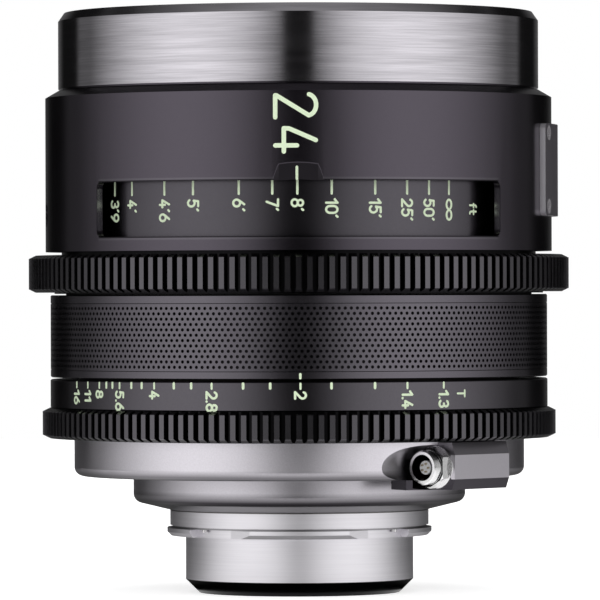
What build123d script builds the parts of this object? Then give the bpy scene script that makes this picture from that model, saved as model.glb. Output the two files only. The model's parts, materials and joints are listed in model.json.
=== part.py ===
"""Cinema prime lens: a turned metal barrel with a geared focus ring, a geared iris ring, moving
glass, nine iris blades and a four-eared rear mount. Millimetres, +Z towards the front glass,
origin at the centre of the mount's flange seat. Angles around the lens are measured from the
front of the object (-Y) towards its right side (+X)."""

from build123d import *
from math import cos, degrees, radians, sin, tan
import os

os.makedirs("parts", exist_ok=True)

# Fits
fit_gap = 0.05            # radial, between turned pieces that are pushed together
running_gap = 0.08        # radial, under the rings and slides that move
overrun = 1.0             # how far a cut runs past the metal
tiny = 0.01               # slack when an edge is looked for by its place
sink_angle = 82.0         # countersinks
fit_angle = 0.1           # degrees, beside a key

# Rear mount, upwards from the flange seat at height zero
throat_radius = 27.0
tube_reach = 13.6
tube_chamfer = 3.2
tube_land = 1.6
tube_neck_step = 1.0
tube_cone_height = 1.0
tube_neck_height = 8.0
tube_floor_height = 5.1
baffle_height = 4.0
baffle_gap = 0.5
baffle_width = 3.55
baffle_flare = 1.9
flange_height = 5.9
flange_wall = 4.7
ear_wall = 5.4
ear_height = 1.9
ear_chamfer = 0.9
ear_gap_wall = 2.9
ear_ramp_wall = 3.7
ear_half_angle = 21.8
ear_ramp_angle = 32.6
side_ear_angle = 55.0
flange_groove_height = 0.6
flange_groove_wall = 4.0
shim_thickness = 0.2
shim_width = 4.3

# Screws of the mount
mount_screw_count = 4
mount_screw_inset = 3.2
mount_screw_head_radius = 1.2
mount_screw_radius = 0.7
mount_screw_length = 9.5
mount_key_radius = 0.5
mount_key_depth = 0.4
flange_screw_inset = 3.6
flange_screw_angle = 48.5
flange_screw_head_radius = 0.65
flange_screw_head_height = 0.6
flange_screw_radius = 0.32
flange_screw_length = 6.0

# Rear housing rings
base_height = 8.1
base_overhang = 8.6
base_rim_height = 6.0
base_foot_step = 0.1
base_fillet = 2.2
grey_ring_height = 8.7
grey_ring_lip = 1.4
grey_ring_fillet = 2.1
grey_floor_thickness = 2.8
grey_seat_width = 1.4
grey_wall_step = 4.0
spigot_height = 3.1
board_thickness = 1.2
board_width = 6.2
board_start_angle = -30.0
board_sweep = 150.0

# Inner tube that carries the rings and cells
tube_wall = 3.0
tube_offset = 22.0           # from the throat of the mount to the bore of the tube

# Iris ring and its gear
iris_gap = 0.3
iris_gear_height = 7.1
iris_gear_teeth = 150
iris_gear_wall = 4.9
iris_band_height = 6.8
iris_band_wall = 6.92
iris_core_wall = 3.92
band_chamfer = 0.25

# Perforated grip sleeve
sleeve_gap = 0.5
sleeve_height = 19.4
sleeve_depth = 6.9
sleeve_wall = 2.5
sleeve_flange_height = 2.0

# Focus ring and its gear
focus_gap = 0.3
focus_shoulder_height = 0.3
focus_shoulder_wall = 5.92
focus_gear_height = 8.8
focus_gear_teeth = 158
focus_gear_wall = 12.02
focus_neck_height = 0.8
focus_neck_wall = 4.22

# Gear teeth
tooth_depth = 1.8
gear_chamfer_height = 0.8
gear_chamfer_depth = 1.66
tip_share = 0.48
root_share = 0.74

# Scale drum and cam barrel
cam_wall = 1.52
drum_wall = 1.55
drum_end_step = 3.5
cam_end_gap = 0.5

# Upper barrel with its scale window
barrel_height = 36.4
barrel_gap = 3.2
barrel_wall = 1.7
shoulder_height = 1.8
ring_groove = 0.4
ring_seat_width = 1.6
web_drop = 11.6
web_height = 9.0
window_bottom = 3.2
window_height = 12.7
window_half_angle = 51.0
window_corner = 1.4
notch_height = 4.2
notch_width = 12.0
notch_side = 1.5
notch_depth = 2.2

# Front ring, bezel and cells
front_ring_wall = 2.55
front_ring_height = 18.0
front_ring_bevel_height = 2.0
front_ring_bevel_depth = 1.4
front_collar_step = 1.95
front_spigot_wall = 3.4
front_spigot_height = 9.3
bezel_drop = 1.2
bezel_wall = 1.9
filter_depth = 6.0
bezel_step_count = 4
bezel_step_height = 1.5
bezel_step_width = 1.7
cell_ledge_width = 1.5
seat_slope = 0.2          # fall of a lens seat along its radius
cell_floor = 1.5

# Badge plate and its screws
badge_thickness = 1.5
badge_height = 21.6
badge_bottom = 8.2
badge_half_angle = 19.8
badge_corner = 1.4
badge_screw_inset_angle = 2.6
badge_screw_inset = 2.2
badge_head_radius = 1.75
plate_gap = 0.02
badge_screw_radius = 0.6
badge_screw_length = 2.6
hex_key_radius = 0.62
hex_key_depth = 0.5

# Plug in the left side of the upper barrel
plug_radius = 2.6
plug_angle = -82.0
plug_height = 8.7
plug_recess = 0.3
plug_slot_width = 0.6

# Data connector and its block, in the direction of the block's outer face
block_angle = 50.0
block_proud = 3.6
block_depth = 9.6
block_left = -12.2
block_right = 8.0
block_overhang = 2.25
block_top_gap = 0.1
block_bevel_out = 0.9
block_bevel_top = 2.85
block_bevel_bottom = 2.4
foot_inset = 0.2
foot_start_angle = 27.5
foot_sweep = 33.0
foot_width = 7.2
connector_offset = 5.2
connector_height = 2.9
connector_collar_radius = 4.0
connector_collar_length = 2.2
connector_body_radius = 3.3
connector_tail_length = 8.0
connector_bore_radius = 3.0
connector_bore_depth = 6.0
connector_key_width = 1.0
connector_scoop_radius = 5.2
connector_scoop_length = 16.0
nut_corner_radius = 4.85
nut_thickness = 2.6
nut_chamfer = 0.35
washer_radius = 4.95
washer_thickness = 0.8
insert_radius = 1.6
insert_drop = 1.2
pin_count = 5
pin_circle = 0.95
pin_radius = 0.22
pin_length = 4.0
pin_lift = 0.5
pin_gap = 0.02

# Iris: fixed cell, blades, drive ring and its key
iris_plate_width = 24.6
iris_plate_drop = 0.8
iris_plate_thickness = 1.2
iris_rim_height = 5.6
blade_count = 9
blade_lift = 0.2
blade_pitch = 0.35
blade_thickness = 0.2
blade_clearance = 0.2
blade_width = 4.6
blade_span = 122.0
blade_pivot_margin = 1.8
blade_tab_radius = 2.8
blade_pin_radius = 0.6
blade_rest_angle = 15.15
drive_ring_gap = 0.1
drive_ring_thickness = 1.8
drive_ring_overhang = 1.1
drive_key_angle = 180.0
drive_key_sweep = 7.0
drive_key_reach = 1.4
iris_low_angle = -34.5
iris_high_angle = 62.5
slot_margin_angle = 1.5
retainer_gap = 0.2
retainer_thickness = 1.0
retainer_width = 3.0

# Stops of the two rings
stop_inset = 4.52
stop_radius = 0.7
stop_depth = 1.0
stop_root = 1.6
stop_gap = 0.1
focus_stop_angle = 170.0
iris_stop_angle = 150.0
focus_low_angle = -40.5
focus_high_angle = 259.5
slip_ring_width = 3.22
slip_inset = 0.1

# Focus travel and the rollers that carry it
focus_travel = 12.0
roller_count = 3
roller_radius = 1.3
roller_side_gap = 0.1
roller_root = 2.0
roller_height = 6.8
roller_first_angle = 60.0

# Glass: walls and steps that set the radius of each lens
front_cell_wall = 7.9
glass_2_step = 9.0
glass_3_step = 4.0
focus_cell_depth = 23.0
glass_5_step = 1.0
glass_6_inset = 0.3
rear_cell_wall = 3.7
glass_9_step = 2.0

# Glass: edge thickness and the bulge of its front and rear faces, forwards positive
glass_1_edge = 5.0
glass_1_front = 8.0
glass_1_rear = 11.0
glass_2_edge = 3.5
glass_2_front = 6.0
glass_2_rear = 8.0
glass_3_edge = 3.0
glass_3_front = 1.5
glass_3_rear = -1.0
glass_4_edge = 5.0
glass_4_front = 2.0
glass_4_rear = 1.0
glass_5_edge = 5.0
glass_5_front = -1.5
glass_5_rear = -1.0
glass_6_edge = 4.5
glass_6_front = 3.0
glass_6_rear = -1.0
glass_7_edge = 4.0
glass_7_front = -2.0
glass_7_rear = 0.5
glass_8_edge = 4.0
glass_8_front = 1.2
glass_8_rear = -1.8
glass_9_edge = 4.0
glass_9_front = 1.5
glass_9_rear = -1.5

# Front cell and focus cell
front_cell_top_gap = 2.3
front_cell_skirt = 13.0
front_cell_step = 3.0
front_retainer_width = 2.5
retainer_relief = 1.2
focus_cell_rim = 3.0
focus_cell_height = 19.0
focus_cell_wall = 3.9
focus_web_lift = 8.0
focus_web_height = 4.0
focus_core_wall = 4.0
focus_core_lift = 2.0
focus_core_height = 16.0
focus_septum_height = 3.0

# Rear cell
rear_flange_height = 2.7
rear_head_wall = 6.5
rear_head_height = 7.2
rear_tail_gap = 0.1
rear_glass_6_lift = 3.3
rear_spacer_width = 1.1
rear_spacer_height = 1.5
rear_spacer_gap = 0.5
rear_spacer_relief = 0.3
rear_septum_height = 5.9
rear_retainer_height = 2.5
rear_retainer_width = 2.0
rear_retainer_relief = 0.7
rear_glass_8_seat = 4.9

# Heights of the joints between pieces, worked out from the sizes above
shim_top = flange_height + shim_thickness
base_top = shim_top + base_height
grey_top = base_top + grey_ring_height
grey_floor = base_top + grey_floor_thickness
iris_bottom = grey_top + iris_gap
iris_gear_top = iris_bottom + iris_gear_height
iris_top = iris_gear_top + iris_band_height
sleeve_bottom = iris_top + sleeve_gap
sleeve_top = sleeve_bottom + sleeve_height
focus_bottom = sleeve_top + focus_gap
focus_teeth_bottom = focus_bottom + focus_shoulder_height
focus_teeth_top = focus_teeth_bottom + focus_gear_height
focus_top = focus_teeth_top + focus_neck_height
barrel_top = focus_top + barrel_height
ring_line = barrel_top + shoulder_height
ring_bottom = ring_line + ring_groove
ring_top = ring_bottom + front_ring_height
web_bottom = barrel_top - web_drop
web_top = web_bottom + web_height
tube_top = web_bottom + web_height / 2
front_cell_top = web_top + front_spigot_height
window_low = focus_top + window_bottom
window_high = window_low + window_height
spigot_top = grey_top + spigot_height
tube_step = tube_floor_height - tube_reach
cam_top = web_bottom - cam_end_gap
drum_top = cam_top - drum_end_step

# Radii, worked out from the throat of the mount outwards
bore_radius = throat_radius - tube_neck_step
tube_bore = throat_radius - tube_chamfer
baffle_radius = tube_bore - tube_land - fit_gap
ear_gap_radius = bore_radius + ear_gap_wall
ear_ramp_radius = bore_radius + ear_ramp_wall
ear_radius = bore_radius + ear_wall
flange_groove_radius = bore_radius + flange_groove_wall
flange_radius = bore_radius + flange_wall
base_foot_radius = flange_radius + base_foot_step
base_radius = base_foot_radius + base_overhang
mount_screw_circle = bore_radius + mount_screw_inset
flange_screw_circle = bore_radius + flange_screw_inset
tube_inner_radius = throat_radius + tube_offset
tube_outer_radius = tube_inner_radius + tube_wall
grey_floor_bore = base_radius - grey_seat_width
grey_wall_bore = tube_inner_radius - grey_wall_step
grey_ring_radius = tube_outer_radius + grey_ring_lip
block_reach = grey_ring_radius + block_proud
block_floor = block_reach - block_depth
ring_bore = tube_outer_radius + running_gap
slip_ring_radius = ring_bore + slip_ring_width
stop_circle = ring_bore + stop_inset
iris_core_radius = ring_bore + iris_core_wall
iris_band_radius = ring_bore + iris_band_wall
iris_gear_radius = iris_core_radius + iris_gear_wall
sleeve_bore = tube_outer_radius + fit_gap
sleeve_radius = sleeve_bore + sleeve_depth
focus_neck_radius = ring_bore + focus_neck_wall
focus_shoulder_radius = ring_bore + focus_shoulder_wall
focus_gear_radius = ring_bore + focus_gear_wall
cam_radius = ring_bore + cam_wall
drum_bore = cam_radius + fit_gap
drum_radius = drum_bore + drum_wall
barrel_bore = drum_radius + barrel_gap
barrel_radius = barrel_bore + barrel_wall
collar_radius = tube_inner_radius + front_collar_step
front_spigot_bore = collar_radius + fit_gap
front_spigot_radius = front_spigot_bore + front_spigot_wall
front_ring_bore = front_spigot_radius + fit_gap
front_ring_radius = front_ring_bore + front_ring_wall
filter_radius = front_spigot_radius - bezel_wall
aperture_radius = tube_inner_radius - iris_plate_width
blade_inner_radius = aperture_radius + blade_clearance
blade_pivot_circle = blade_inner_radius + blade_width + blade_pivot_margin
drive_ring_bore = aperture_radius + drive_ring_overhang
glass_1_radius = collar_radius - front_cell_wall - fit_gap
glass_2_radius = glass_1_radius - glass_2_step
glass_3_radius = glass_2_radius - glass_3_step
glass_4_radius = tube_inner_radius - focus_cell_depth
glass_5_radius = glass_4_radius - glass_5_step
glass_6_radius = tube_bore - glass_6_inset
glass_7_radius = tube_bore - fit_gap - rear_cell_wall - fit_gap
glass_9_radius = glass_7_radius - glass_9_step
stop_reach = stop_radius + stop_gap
stop_half_angle = degrees(stop_reach / stop_circle)
badge_face = barrel_radius + badge_thickness

# Places worked out from the sizes above
badge_low = focus_top + badge_bottom
badge_high = badge_low + badge_height
badge_screw_angle = badge_half_angle - badge_screw_inset_angle
plug_centre = focus_top + plug_height
connector_centre = base_top + connector_height
iris_plate_low = spigot_top + iris_plate_drop
iris_plate_high = iris_plate_low + iris_plate_thickness
iris_rim_top = spigot_top + iris_rim_height
drive_low = iris_rim_top + drive_ring_gap
drive_high = drive_low + drive_ring_thickness
blade_angles = [360 * blade / blade_count for blade in range(blade_count)]

# Focus cell, at its place when the scale reads the middle distance
roller_angles = [roller_first_angle + 360 * roller / roller_count for roller in range(roller_count)]
roller_centre = focus_top + roller_height
focus_rear_travel = focus_travel * focus_low_angle / (focus_low_angle - focus_high_angle)
focus_cell_top = roller_centre + focus_cell_rim
focus_cell_bottom = focus_cell_top - focus_cell_height

# Seats of the glass
front_cell_bottom = web_top - front_cell_skirt
glass_1_low = front_cell_top - front_cell_top_gap - glass_1_edge
glass_3_low = front_cell_bottom + cell_floor
glass_2_low = glass_3_low + glass_3_edge + front_cell_step
glass_2_high = glass_2_low + glass_2_edge
glass_5_high = focus_cell_bottom + focus_web_lift
glass_4_low = glass_5_high + focus_septum_height
rear_flange_top = base_top + rear_flange_height
rear_head_top = rear_flange_top + rear_head_height
glass_6_low = base_top + rear_glass_6_lift
glass_8_low = rear_glass_8_seat
glass_8_high = glass_8_low + glass_8_edge
glass_7_low = glass_8_high + rear_spacer_height
glass_7_high = glass_7_low + glass_7_edge
glass_9_high = glass_8_low - rear_septum_height
tail_low = tube_step + rear_tail_gap

low_align = (Align.CENTER, Align.CENTER, Align.MIN)
high_align = (Align.CENTER, Align.CENTER, Align.MAX)


def around(radius, angle, height=0):
    """Point at a radius and angle round the optical axis."""
    return Vector(radius * sin(radians(angle)), -radius * cos(radians(angle)), height)


def cut_plane(angle=90.0):
    """Upright plane through the optical axis, with x pointing outwards at an angle."""
    outward = around(1.0, angle)
    return Plane(origin=(0, 0, 0), x_dir=outward, z_dir=outward.cross(Vector(0, 0, 1)))


def section(*outline, angle=90.0):
    """Closed outline of (radius, height) points on an upright plane through the axis."""
    with BuildSketch(cut_plane(angle)) as cut:
        with BuildLine():
            Polyline(*outline, close=True)
        make_face()
    return cut.sketch


def band(inner, outer, low, high, angle=90.0):
    """Rectangular section between two radii and two heights."""
    return section((inner, low), (outer, low), (outer, high), (inner, high), angle=angle)


def glass_section(radius, edge_low, edge, front, rear):
    """Half section of a lens: flat edge, and two arcs that are square to the axis."""
    edge_high = edge_low + edge
    with BuildSketch(cut_plane()) as cut:
        with BuildLine():
            Line((0, edge_low + rear), (0, edge_high + front))
            TangentArc((0, edge_high + front), (radius, edge_high), tangent=(1, 0))
            Line((radius, edge_high), (radius, edge_low))
            TangentArc((0, edge_low + rear), (radius, edge_low), tangent=(1, 0))
        make_face()
    return cut.sketch


def gear_outline(teeth, tip_radius):
    """Corners of a gear with straight-flanked teeth."""
    pitch = 360 / teeth
    root_radius = tip_radius - tooth_depth
    corners = []
    for tooth in range(teeth):
        middle = tooth * pitch
        for radius, share in ((root_radius, -root_share), (tip_radius, -tip_share),
                              (tip_radius, tip_share), (root_radius, root_share)):
            corners.append(around(radius, middle + share * pitch / 2))
    return corners


def gear_section(bore, tip_radius, low, high):
    """Section of a gear whose teeth fall away at both ends."""
    end_radius = tip_radius - gear_chamfer_depth
    return section((bore, low), (end_radius, low), (tip_radius, low + gear_chamfer_height),
                   (tip_radius, high - gear_chamfer_height), (end_radius, high), (bore, high))


def outward_plane(radius, angle, height):
    """Plane that touches a cylinder round the optical axis, facing outwards."""
    return Plane(origin=around(radius, angle, height), x_dir=around(1.0, angle + 90),
                 z_dir=around(1.0, angle))


def save(name, builder):
    """Label a finished piece and write it out."""
    builder.part.label = name
    export_step(builder.part, f"parts/{name}.step")


# Places of the screws, and the frame of the data connector

mount_screw_places = [Location(around(mount_screw_circle, 360 * turn / mount_screw_count))
                      for turn in range(mount_screw_count)]
flange_screw_places = [Location(around(flange_screw_circle, side + turn, ear_height))
                       for side in (0, 180) for turn in (-flange_screw_angle, flange_screw_angle)]
badge_screw_places = [outward_plane(badge_face, 90 + side, height)
                      for side in (-badge_screw_angle, badge_screw_angle)
                      for height in (badge_low + badge_screw_inset, badge_high - badge_screw_inset)]
block_plane = Plane(origin=(0, 0, 0), x_dir=around(1.0, block_angle + 90),
                    z_dir=around(1.0, block_angle))
socket_depth = block_reach - connector_offset
socket_centre = (around(socket_depth, block_angle, connector_centre)
                 + around(block_left, block_angle + 90))
socket_plane = Plane(origin=socket_centre, x_dir=around(1.0, block_angle),
                     z_dir=around(-1.0, block_angle + 90))
socket_front = washer_thickness + nut_thickness + connector_collar_length


def sink_depth(head, shank):
    """Depth of a countersink between two radii."""
    return (head - shank) / tan(radians(sink_angle / 2))


# Rear mount

with BuildPart() as rear_tube:
    revolve(section((tube_bore, -tube_reach), (throat_radius, tube_chamfer - tube_reach),
                    (throat_radius, 0), (bore_radius, tube_cone_height),
                    (bore_radius, tube_neck_height), (tube_bore, tube_neck_height),
                    (tube_bore, tube_step), (tube_bore - tube_land, tube_step),
                    (tube_bore - tube_land, -tube_reach)), axis=Axis.Z)
save("rear_tube", rear_tube)

with BuildPart() as rear_baffle:
    baffle_low = -tube_reach + baffle_gap
    baffle_high = baffle_low + baffle_height
    baffle_throat_radius = baffle_radius - baffle_width
    revolve(section((baffle_throat_radius + baffle_flare, baffle_low), (baffle_radius, baffle_low),
                    (baffle_radius, baffle_high), (baffle_throat_radius, baffle_high)), axis=Axis.Z)
save("rear_baffle", rear_baffle)

with BuildPart() as mount_flange:
    revolve(band(bore_radius + fit_gap, flange_groove_radius, 0, flange_height), axis=Axis.Z)
    revolve(band(bore_radius + fit_gap, flange_radius, ear_height + flange_groove_height,
                 flange_height), axis=Axis.Z)
    revolve(section((ear_gap_radius, 0), (ear_radius - ear_chamfer, 0), (ear_radius, ear_chamfer),
                    (ear_radius, ear_height), (ear_gap_radius, ear_height)), axis=Axis.Z)
    with BuildSketch(Plane.XY.offset(-overrun)):
        with BuildLine():
            outside = ear_radius + overrun
            gap_middle = (ear_ramp_angle + side_ear_angle) / 2
            Polyline(around(outside, side_ear_angle), around(ear_gap_radius, side_ear_angle))
            ThreePointArc(around(ear_gap_radius, side_ear_angle),
                          around(ear_gap_radius, gap_middle),
                          around(ear_gap_radius, ear_ramp_angle))
            Polyline(around(ear_gap_radius, ear_ramp_angle), around(ear_ramp_radius, ear_ramp_angle),
                     around(ear_radius, ear_half_angle), around(outside, ear_half_angle))
            ThreePointArc(around(outside, ear_half_angle), around(outside, gap_middle),
                          around(outside, side_ear_angle))
        make_face()
        mirror(about=Plane.YZ)
        mirror(about=Plane.XZ)
    extrude(amount=ear_height + overrun, mode=Mode.SUBTRACT)
    revolve(section((bore_radius, -overrun), (throat_radius + fit_gap, -overrun),
                    (throat_radius + fit_gap, 0), (bore_radius + fit_gap, tube_cone_height),
                    (bore_radius, tube_cone_height)), axis=Axis.Z, mode=Mode.SUBTRACT)
    with Locations(*[place * Location((0, 0, 0), (180, 0, 0)) for place in mount_screw_places]):
        CounterSinkHole(mount_screw_radius + fit_gap, mount_screw_head_radius + fit_gap,
                        counter_sink_angle=sink_angle)
    with Locations(*flange_screw_places):
        Cylinder(flange_screw_radius + fit_gap, flange_height, align=low_align, mode=Mode.SUBTRACT)
save("mount_flange", mount_flange)

with BuildPart() as mount_shim:
    shim_bore = bore_radius + fit_gap
    revolve(band(shim_bore, shim_bore + shim_width, flange_height, shim_top), axis=Axis.Z)
    with Locations(*mount_screw_places):
        Cylinder(mount_screw_radius + fit_gap, mount_screw_length, align=low_align,
                 mode=Mode.SUBTRACT)
    with Locations(*flange_screw_places):
        Cylinder(flange_screw_radius + fit_gap, flange_screw_length, align=low_align,
                 mode=Mode.SUBTRACT)
save("mount_shim", mount_shim)

with BuildPart() as mount_base:
    rim_low = base_top - base_rim_height
    revolve(section((bore_radius + fit_gap, shim_top), (base_foot_radius, shim_top),
                    (base_radius, rim_low), (base_radius, base_top),
                    (bore_radius + fit_gap, base_top)), axis=Axis.Z)
    fillet(mount_base.edges().filter_by_position(Axis.Z, rim_low - tiny, rim_low + tiny), base_fillet)
    with Locations(*mount_screw_places):
        Cylinder(mount_screw_radius + fit_gap, mount_screw_length + fit_gap, align=low_align,
                 mode=Mode.SUBTRACT)
    with Locations(*flange_screw_places):
        Cylinder(flange_screw_radius + fit_gap, flange_screw_length + fit_gap, align=low_align,
                 mode=Mode.SUBTRACT)
save("mount_base", mount_base)

with BuildPart() as mount_screws:
    with Locations(*mount_screw_places):
        Cone(mount_screw_head_radius, mount_screw_radius,
             sink_depth(mount_screw_head_radius, mount_screw_radius), align=low_align)
        Cylinder(mount_screw_radius, mount_screw_length, align=low_align)
        with BuildSketch(Plane.XY):
            RegularPolygon(mount_key_radius, 6)
        extrude(amount=mount_key_depth, mode=Mode.SUBTRACT)
save("mount_screws", mount_screws)

with BuildPart() as flange_screws:
    with Locations(*flange_screw_places):
        Cylinder(flange_screw_head_radius, flange_screw_head_height, align=high_align)
        Cylinder(flange_screw_radius, flange_screw_length, align=low_align)
save("flange_screws", flange_screws)


# Rear housing

with BuildPart() as rear_housing:
    spigot_radius = tube_inner_radius - fit_gap
    revolve(section((grey_floor_bore, base_top), (grey_ring_radius, base_top),
                    (grey_ring_radius, grey_top), (spigot_radius, grey_top),
                    (spigot_radius, spigot_top), (grey_wall_bore, spigot_top),
                    (grey_wall_bore, grey_floor), (grey_floor_bore, grey_floor)), axis=Axis.Z)
    bottom_edges = rear_housing.edges().filter_by_position(Axis.Z, base_top - tiny, base_top + tiny)
    fillet(bottom_edges.sort_by(SortBy.LENGTH)[-1], grey_ring_fillet)
    with BuildSketch(block_plane.offset(block_floor)):
        with BuildLine():
            left = block_left - fit_gap
            right = block_right + fit_gap
            Polyline((left, base_top - overrun), (right, base_top - overrun), (right, grey_top),
                     (left, grey_top), close=True)
        make_face()
    extrude(amount=block_reach - block_floor, mode=Mode.SUBTRACT)
    with BuildSketch(socket_plane):
        Circle(connector_scoop_radius)
    extrude(amount=connector_scoop_length, mode=Mode.SUBTRACT)
save("rear_housing", rear_housing)

with BuildPart() as circuit_board:
    board_radius = grey_wall_bore - fit_gap
    revolve(band(board_radius - board_width, board_radius, grey_floor, grey_floor + board_thickness,
                 angle=board_start_angle), axis=Axis.Z, revolution_arc=board_sweep)
save("circuit_board", circuit_board)


# Data connector

with BuildPart() as connector_block:
    block_top = grey_top - block_top_gap
    block_bottom = base_top - block_overhang
    block_back = block_floor + fit_gap
    block_crest = block_reach - block_bevel_out
    with BuildSketch(cut_plane(block_angle).offset(-block_left)):
        with BuildLine():
            Polyline((block_back, block_bottom), (block_crest, block_bottom),
                     (block_reach, block_bottom + block_bevel_bottom),
                     (block_reach, block_top - block_bevel_top), (block_crest, block_top),
                     (block_back, block_top), close=True)
        make_face()
    extrude(amount=block_left - block_right)
    foot_radius = grey_ring_radius - foot_inset
    revolve(band(foot_radius - foot_width, foot_radius, block_bottom, base_top,
                 angle=foot_start_angle), axis=Axis.Z, revolution_arc=foot_sweep)
    with BuildSketch(socket_plane):
        Circle(connector_scoop_radius)
    extrude(amount=socket_front + overrun, mode=Mode.SUBTRACT)
    with BuildSketch(socket_plane):
        Circle(connector_body_radius + fit_gap)
    extrude(amount=-connector_tail_length - fit_gap, mode=Mode.SUBTRACT)
save("connector_block", connector_block)

with BuildPart() as connector_washer:
    with BuildSketch(socket_plane):
        Circle(washer_radius)
        Circle(connector_body_radius + fit_gap, mode=Mode.SUBTRACT)
    extrude(amount=washer_thickness)
save("connector_washer", connector_washer)

with BuildPart() as connector_nut:
    nut_top = washer_thickness + nut_thickness
    nut_shoulder = nut_corner_radius - nut_chamfer
    with BuildSketch(socket_plane.offset(washer_thickness)):
        RegularPolygon(nut_corner_radius, 6, rotation=90)
        Circle(connector_body_radius + fit_gap, mode=Mode.SUBTRACT)
    extrude(amount=nut_thickness)
    with BuildSketch(Plane(origin=socket_plane.origin, x_dir=socket_plane.x_dir,
                           z_dir=-socket_plane.y_dir)):
        with BuildLine():
            Polyline((0, washer_thickness), (nut_shoulder, washer_thickness),
                     (nut_corner_radius, washer_thickness + nut_chamfer),
                     (nut_corner_radius, nut_top - nut_chamfer), (nut_shoulder, nut_top),
                     (0, nut_top), close=True)
        make_face()
    revolve(axis=Axis(socket_plane.origin, socket_plane.z_dir), mode=Mode.INTERSECT)
save("connector_nut", connector_nut)

with BuildPart() as connector_shell:
    with BuildSketch(socket_plane.offset(-connector_tail_length)):
        Circle(connector_body_radius)
    extrude(amount=connector_tail_length + washer_thickness + nut_thickness)
    with BuildSketch(socket_plane.offset(washer_thickness + nut_thickness)):
        Circle(connector_collar_radius)
    extrude(amount=connector_collar_length)
    chamfer(connector_shell.edges().group_by(Axis(socket_plane.origin, socket_plane.z_dir))[-1],
            nut_chamfer)
    with BuildSketch(socket_plane.offset(socket_front)):
        Circle(connector_bore_radius)
        with Locations((0, -connector_bore_radius)):
            Rectangle(connector_key_width, connector_key_width, mode=Mode.SUBTRACT)
    extrude(amount=-connector_bore_depth, mode=Mode.SUBTRACT)
save("connector_shell", connector_shell)

with BuildPart() as connector_insert:
    with BuildSketch(socket_plane.offset(socket_front - connector_bore_depth)):
        Circle(insert_radius)
        with PolarLocations(pin_circle, pin_count):
            Circle(pin_radius + pin_gap, mode=Mode.SUBTRACT)
    extrude(amount=connector_bore_depth - insert_drop)
save("connector_insert", connector_insert)

with BuildPart() as connector_pins:
    with BuildSketch(socket_plane.offset(socket_front - insert_drop + pin_lift)):
        with PolarLocations(pin_circle, pin_count):
            Circle(pin_radius)
    extrude(amount=-pin_length)
save("connector_pins", connector_pins)


# Inner tube and the rings that turn on it

with BuildPart() as main_tube:
    revolve(band(tube_inner_radius, tube_outer_radius, grey_top, tube_top), axis=Axis.Z)
    slot_middle = roller_centre + focus_travel / 2 - focus_rear_travel
    slot_width = 2 * (roller_radius + roller_side_gap)
    for angle in roller_angles:
        with BuildSketch(outward_plane(tube_outer_radius + overrun, angle, slot_middle)):
            SlotOverall(focus_travel + slot_width, slot_width, rotation=90)
        extrude(amount=tube_inner_radius - tube_outer_radius - 2 * overrun, mode=Mode.SUBTRACT)
    key_margin = drive_key_sweep / 2 + slot_margin_angle
    revolve(band(tube_inner_radius - overrun, tube_outer_radius + overrun,
                 drive_low - running_gap, drive_high + running_gap,
                 angle=drive_key_angle + iris_low_angle - key_margin), axis=Axis.Z,
            revolution_arc=iris_high_angle - iris_low_angle + 2 * key_margin, mode=Mode.SUBTRACT)
save("main_tube", main_tube)

with BuildPart() as iris_slip_ring:
    revolve(band(ring_bore, grey_ring_radius - slip_inset, grey_top, iris_bottom), axis=Axis.Z)
save("iris_slip_ring", iris_slip_ring)

with BuildPart() as iris_ring:
    revolve(section((ring_bore, iris_bottom), (iris_core_radius, iris_bottom),
                    (iris_core_radius, iris_gear_top), (iris_band_radius - band_chamfer, iris_gear_top),
                    (iris_band_radius, iris_gear_top + band_chamfer),
                    (iris_band_radius, iris_top - band_chamfer),
                    (iris_band_radius - band_chamfer, iris_top), (ring_bore, iris_top)), axis=Axis.Z)
    revolve(band(ring_bore - overrun, tube_outer_radius + drive_key_reach + fit_gap,
                 drive_low - fit_gap, iris_top + overrun,
                 angle=drive_key_angle - drive_key_sweep / 2 - fit_angle), axis=Axis.Z,
            revolution_arc=drive_key_sweep + 2 * fit_angle, mode=Mode.SUBTRACT)
    revolve(band(stop_circle - stop_reach, stop_circle + stop_reach, iris_top - stop_depth - stop_gap,
                 iris_top + overrun, angle=iris_stop_angle - iris_high_angle - stop_half_angle),
            axis=Axis.Z, mode=Mode.SUBTRACT,
            revolution_arc=iris_high_angle - iris_low_angle + 2 * stop_half_angle)
save("iris_ring", iris_ring)

with BuildPart() as iris_gear:
    with BuildSketch(Plane.XY.offset(iris_bottom)):
        with BuildLine():
            Polyline(*gear_outline(iris_gear_teeth, iris_gear_radius), close=True)
        make_face()
    extrude(amount=iris_gear_height)
    revolve(gear_section(iris_core_radius + fit_gap, iris_gear_radius, iris_bottom, iris_gear_top),
            axis=Axis.Z, mode=Mode.INTERSECT)
save("iris_gear", iris_gear)

with BuildPart() as grip_sleeve:
    sleeve_inside = sleeve_radius - sleeve_wall
    revolve(section((sleeve_bore, sleeve_bottom), (sleeve_radius - band_chamfer, sleeve_bottom),
                    (sleeve_radius, sleeve_bottom + band_chamfer),
                    (sleeve_radius, sleeve_top - band_chamfer),
                    (sleeve_radius - band_chamfer, sleeve_top), (sleeve_bore, sleeve_top),
                    (sleeve_bore, sleeve_top - sleeve_flange_height),
                    (sleeve_inside, sleeve_top - sleeve_flange_height),
                    (sleeve_inside, sleeve_bottom + sleeve_flange_height),
                    (sleeve_bore, sleeve_bottom + sleeve_flange_height)), axis=Axis.Z)
    with Locations(around(stop_circle, focus_stop_angle, sleeve_top)):
        Cylinder(stop_radius + fit_gap, stop_root, align=high_align, mode=Mode.SUBTRACT)
    with Locations(around(stop_circle, iris_stop_angle, sleeve_bottom)):
        Cylinder(stop_radius + fit_gap, stop_root, align=low_align, mode=Mode.SUBTRACT)
save("grip_sleeve", grip_sleeve)

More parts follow.
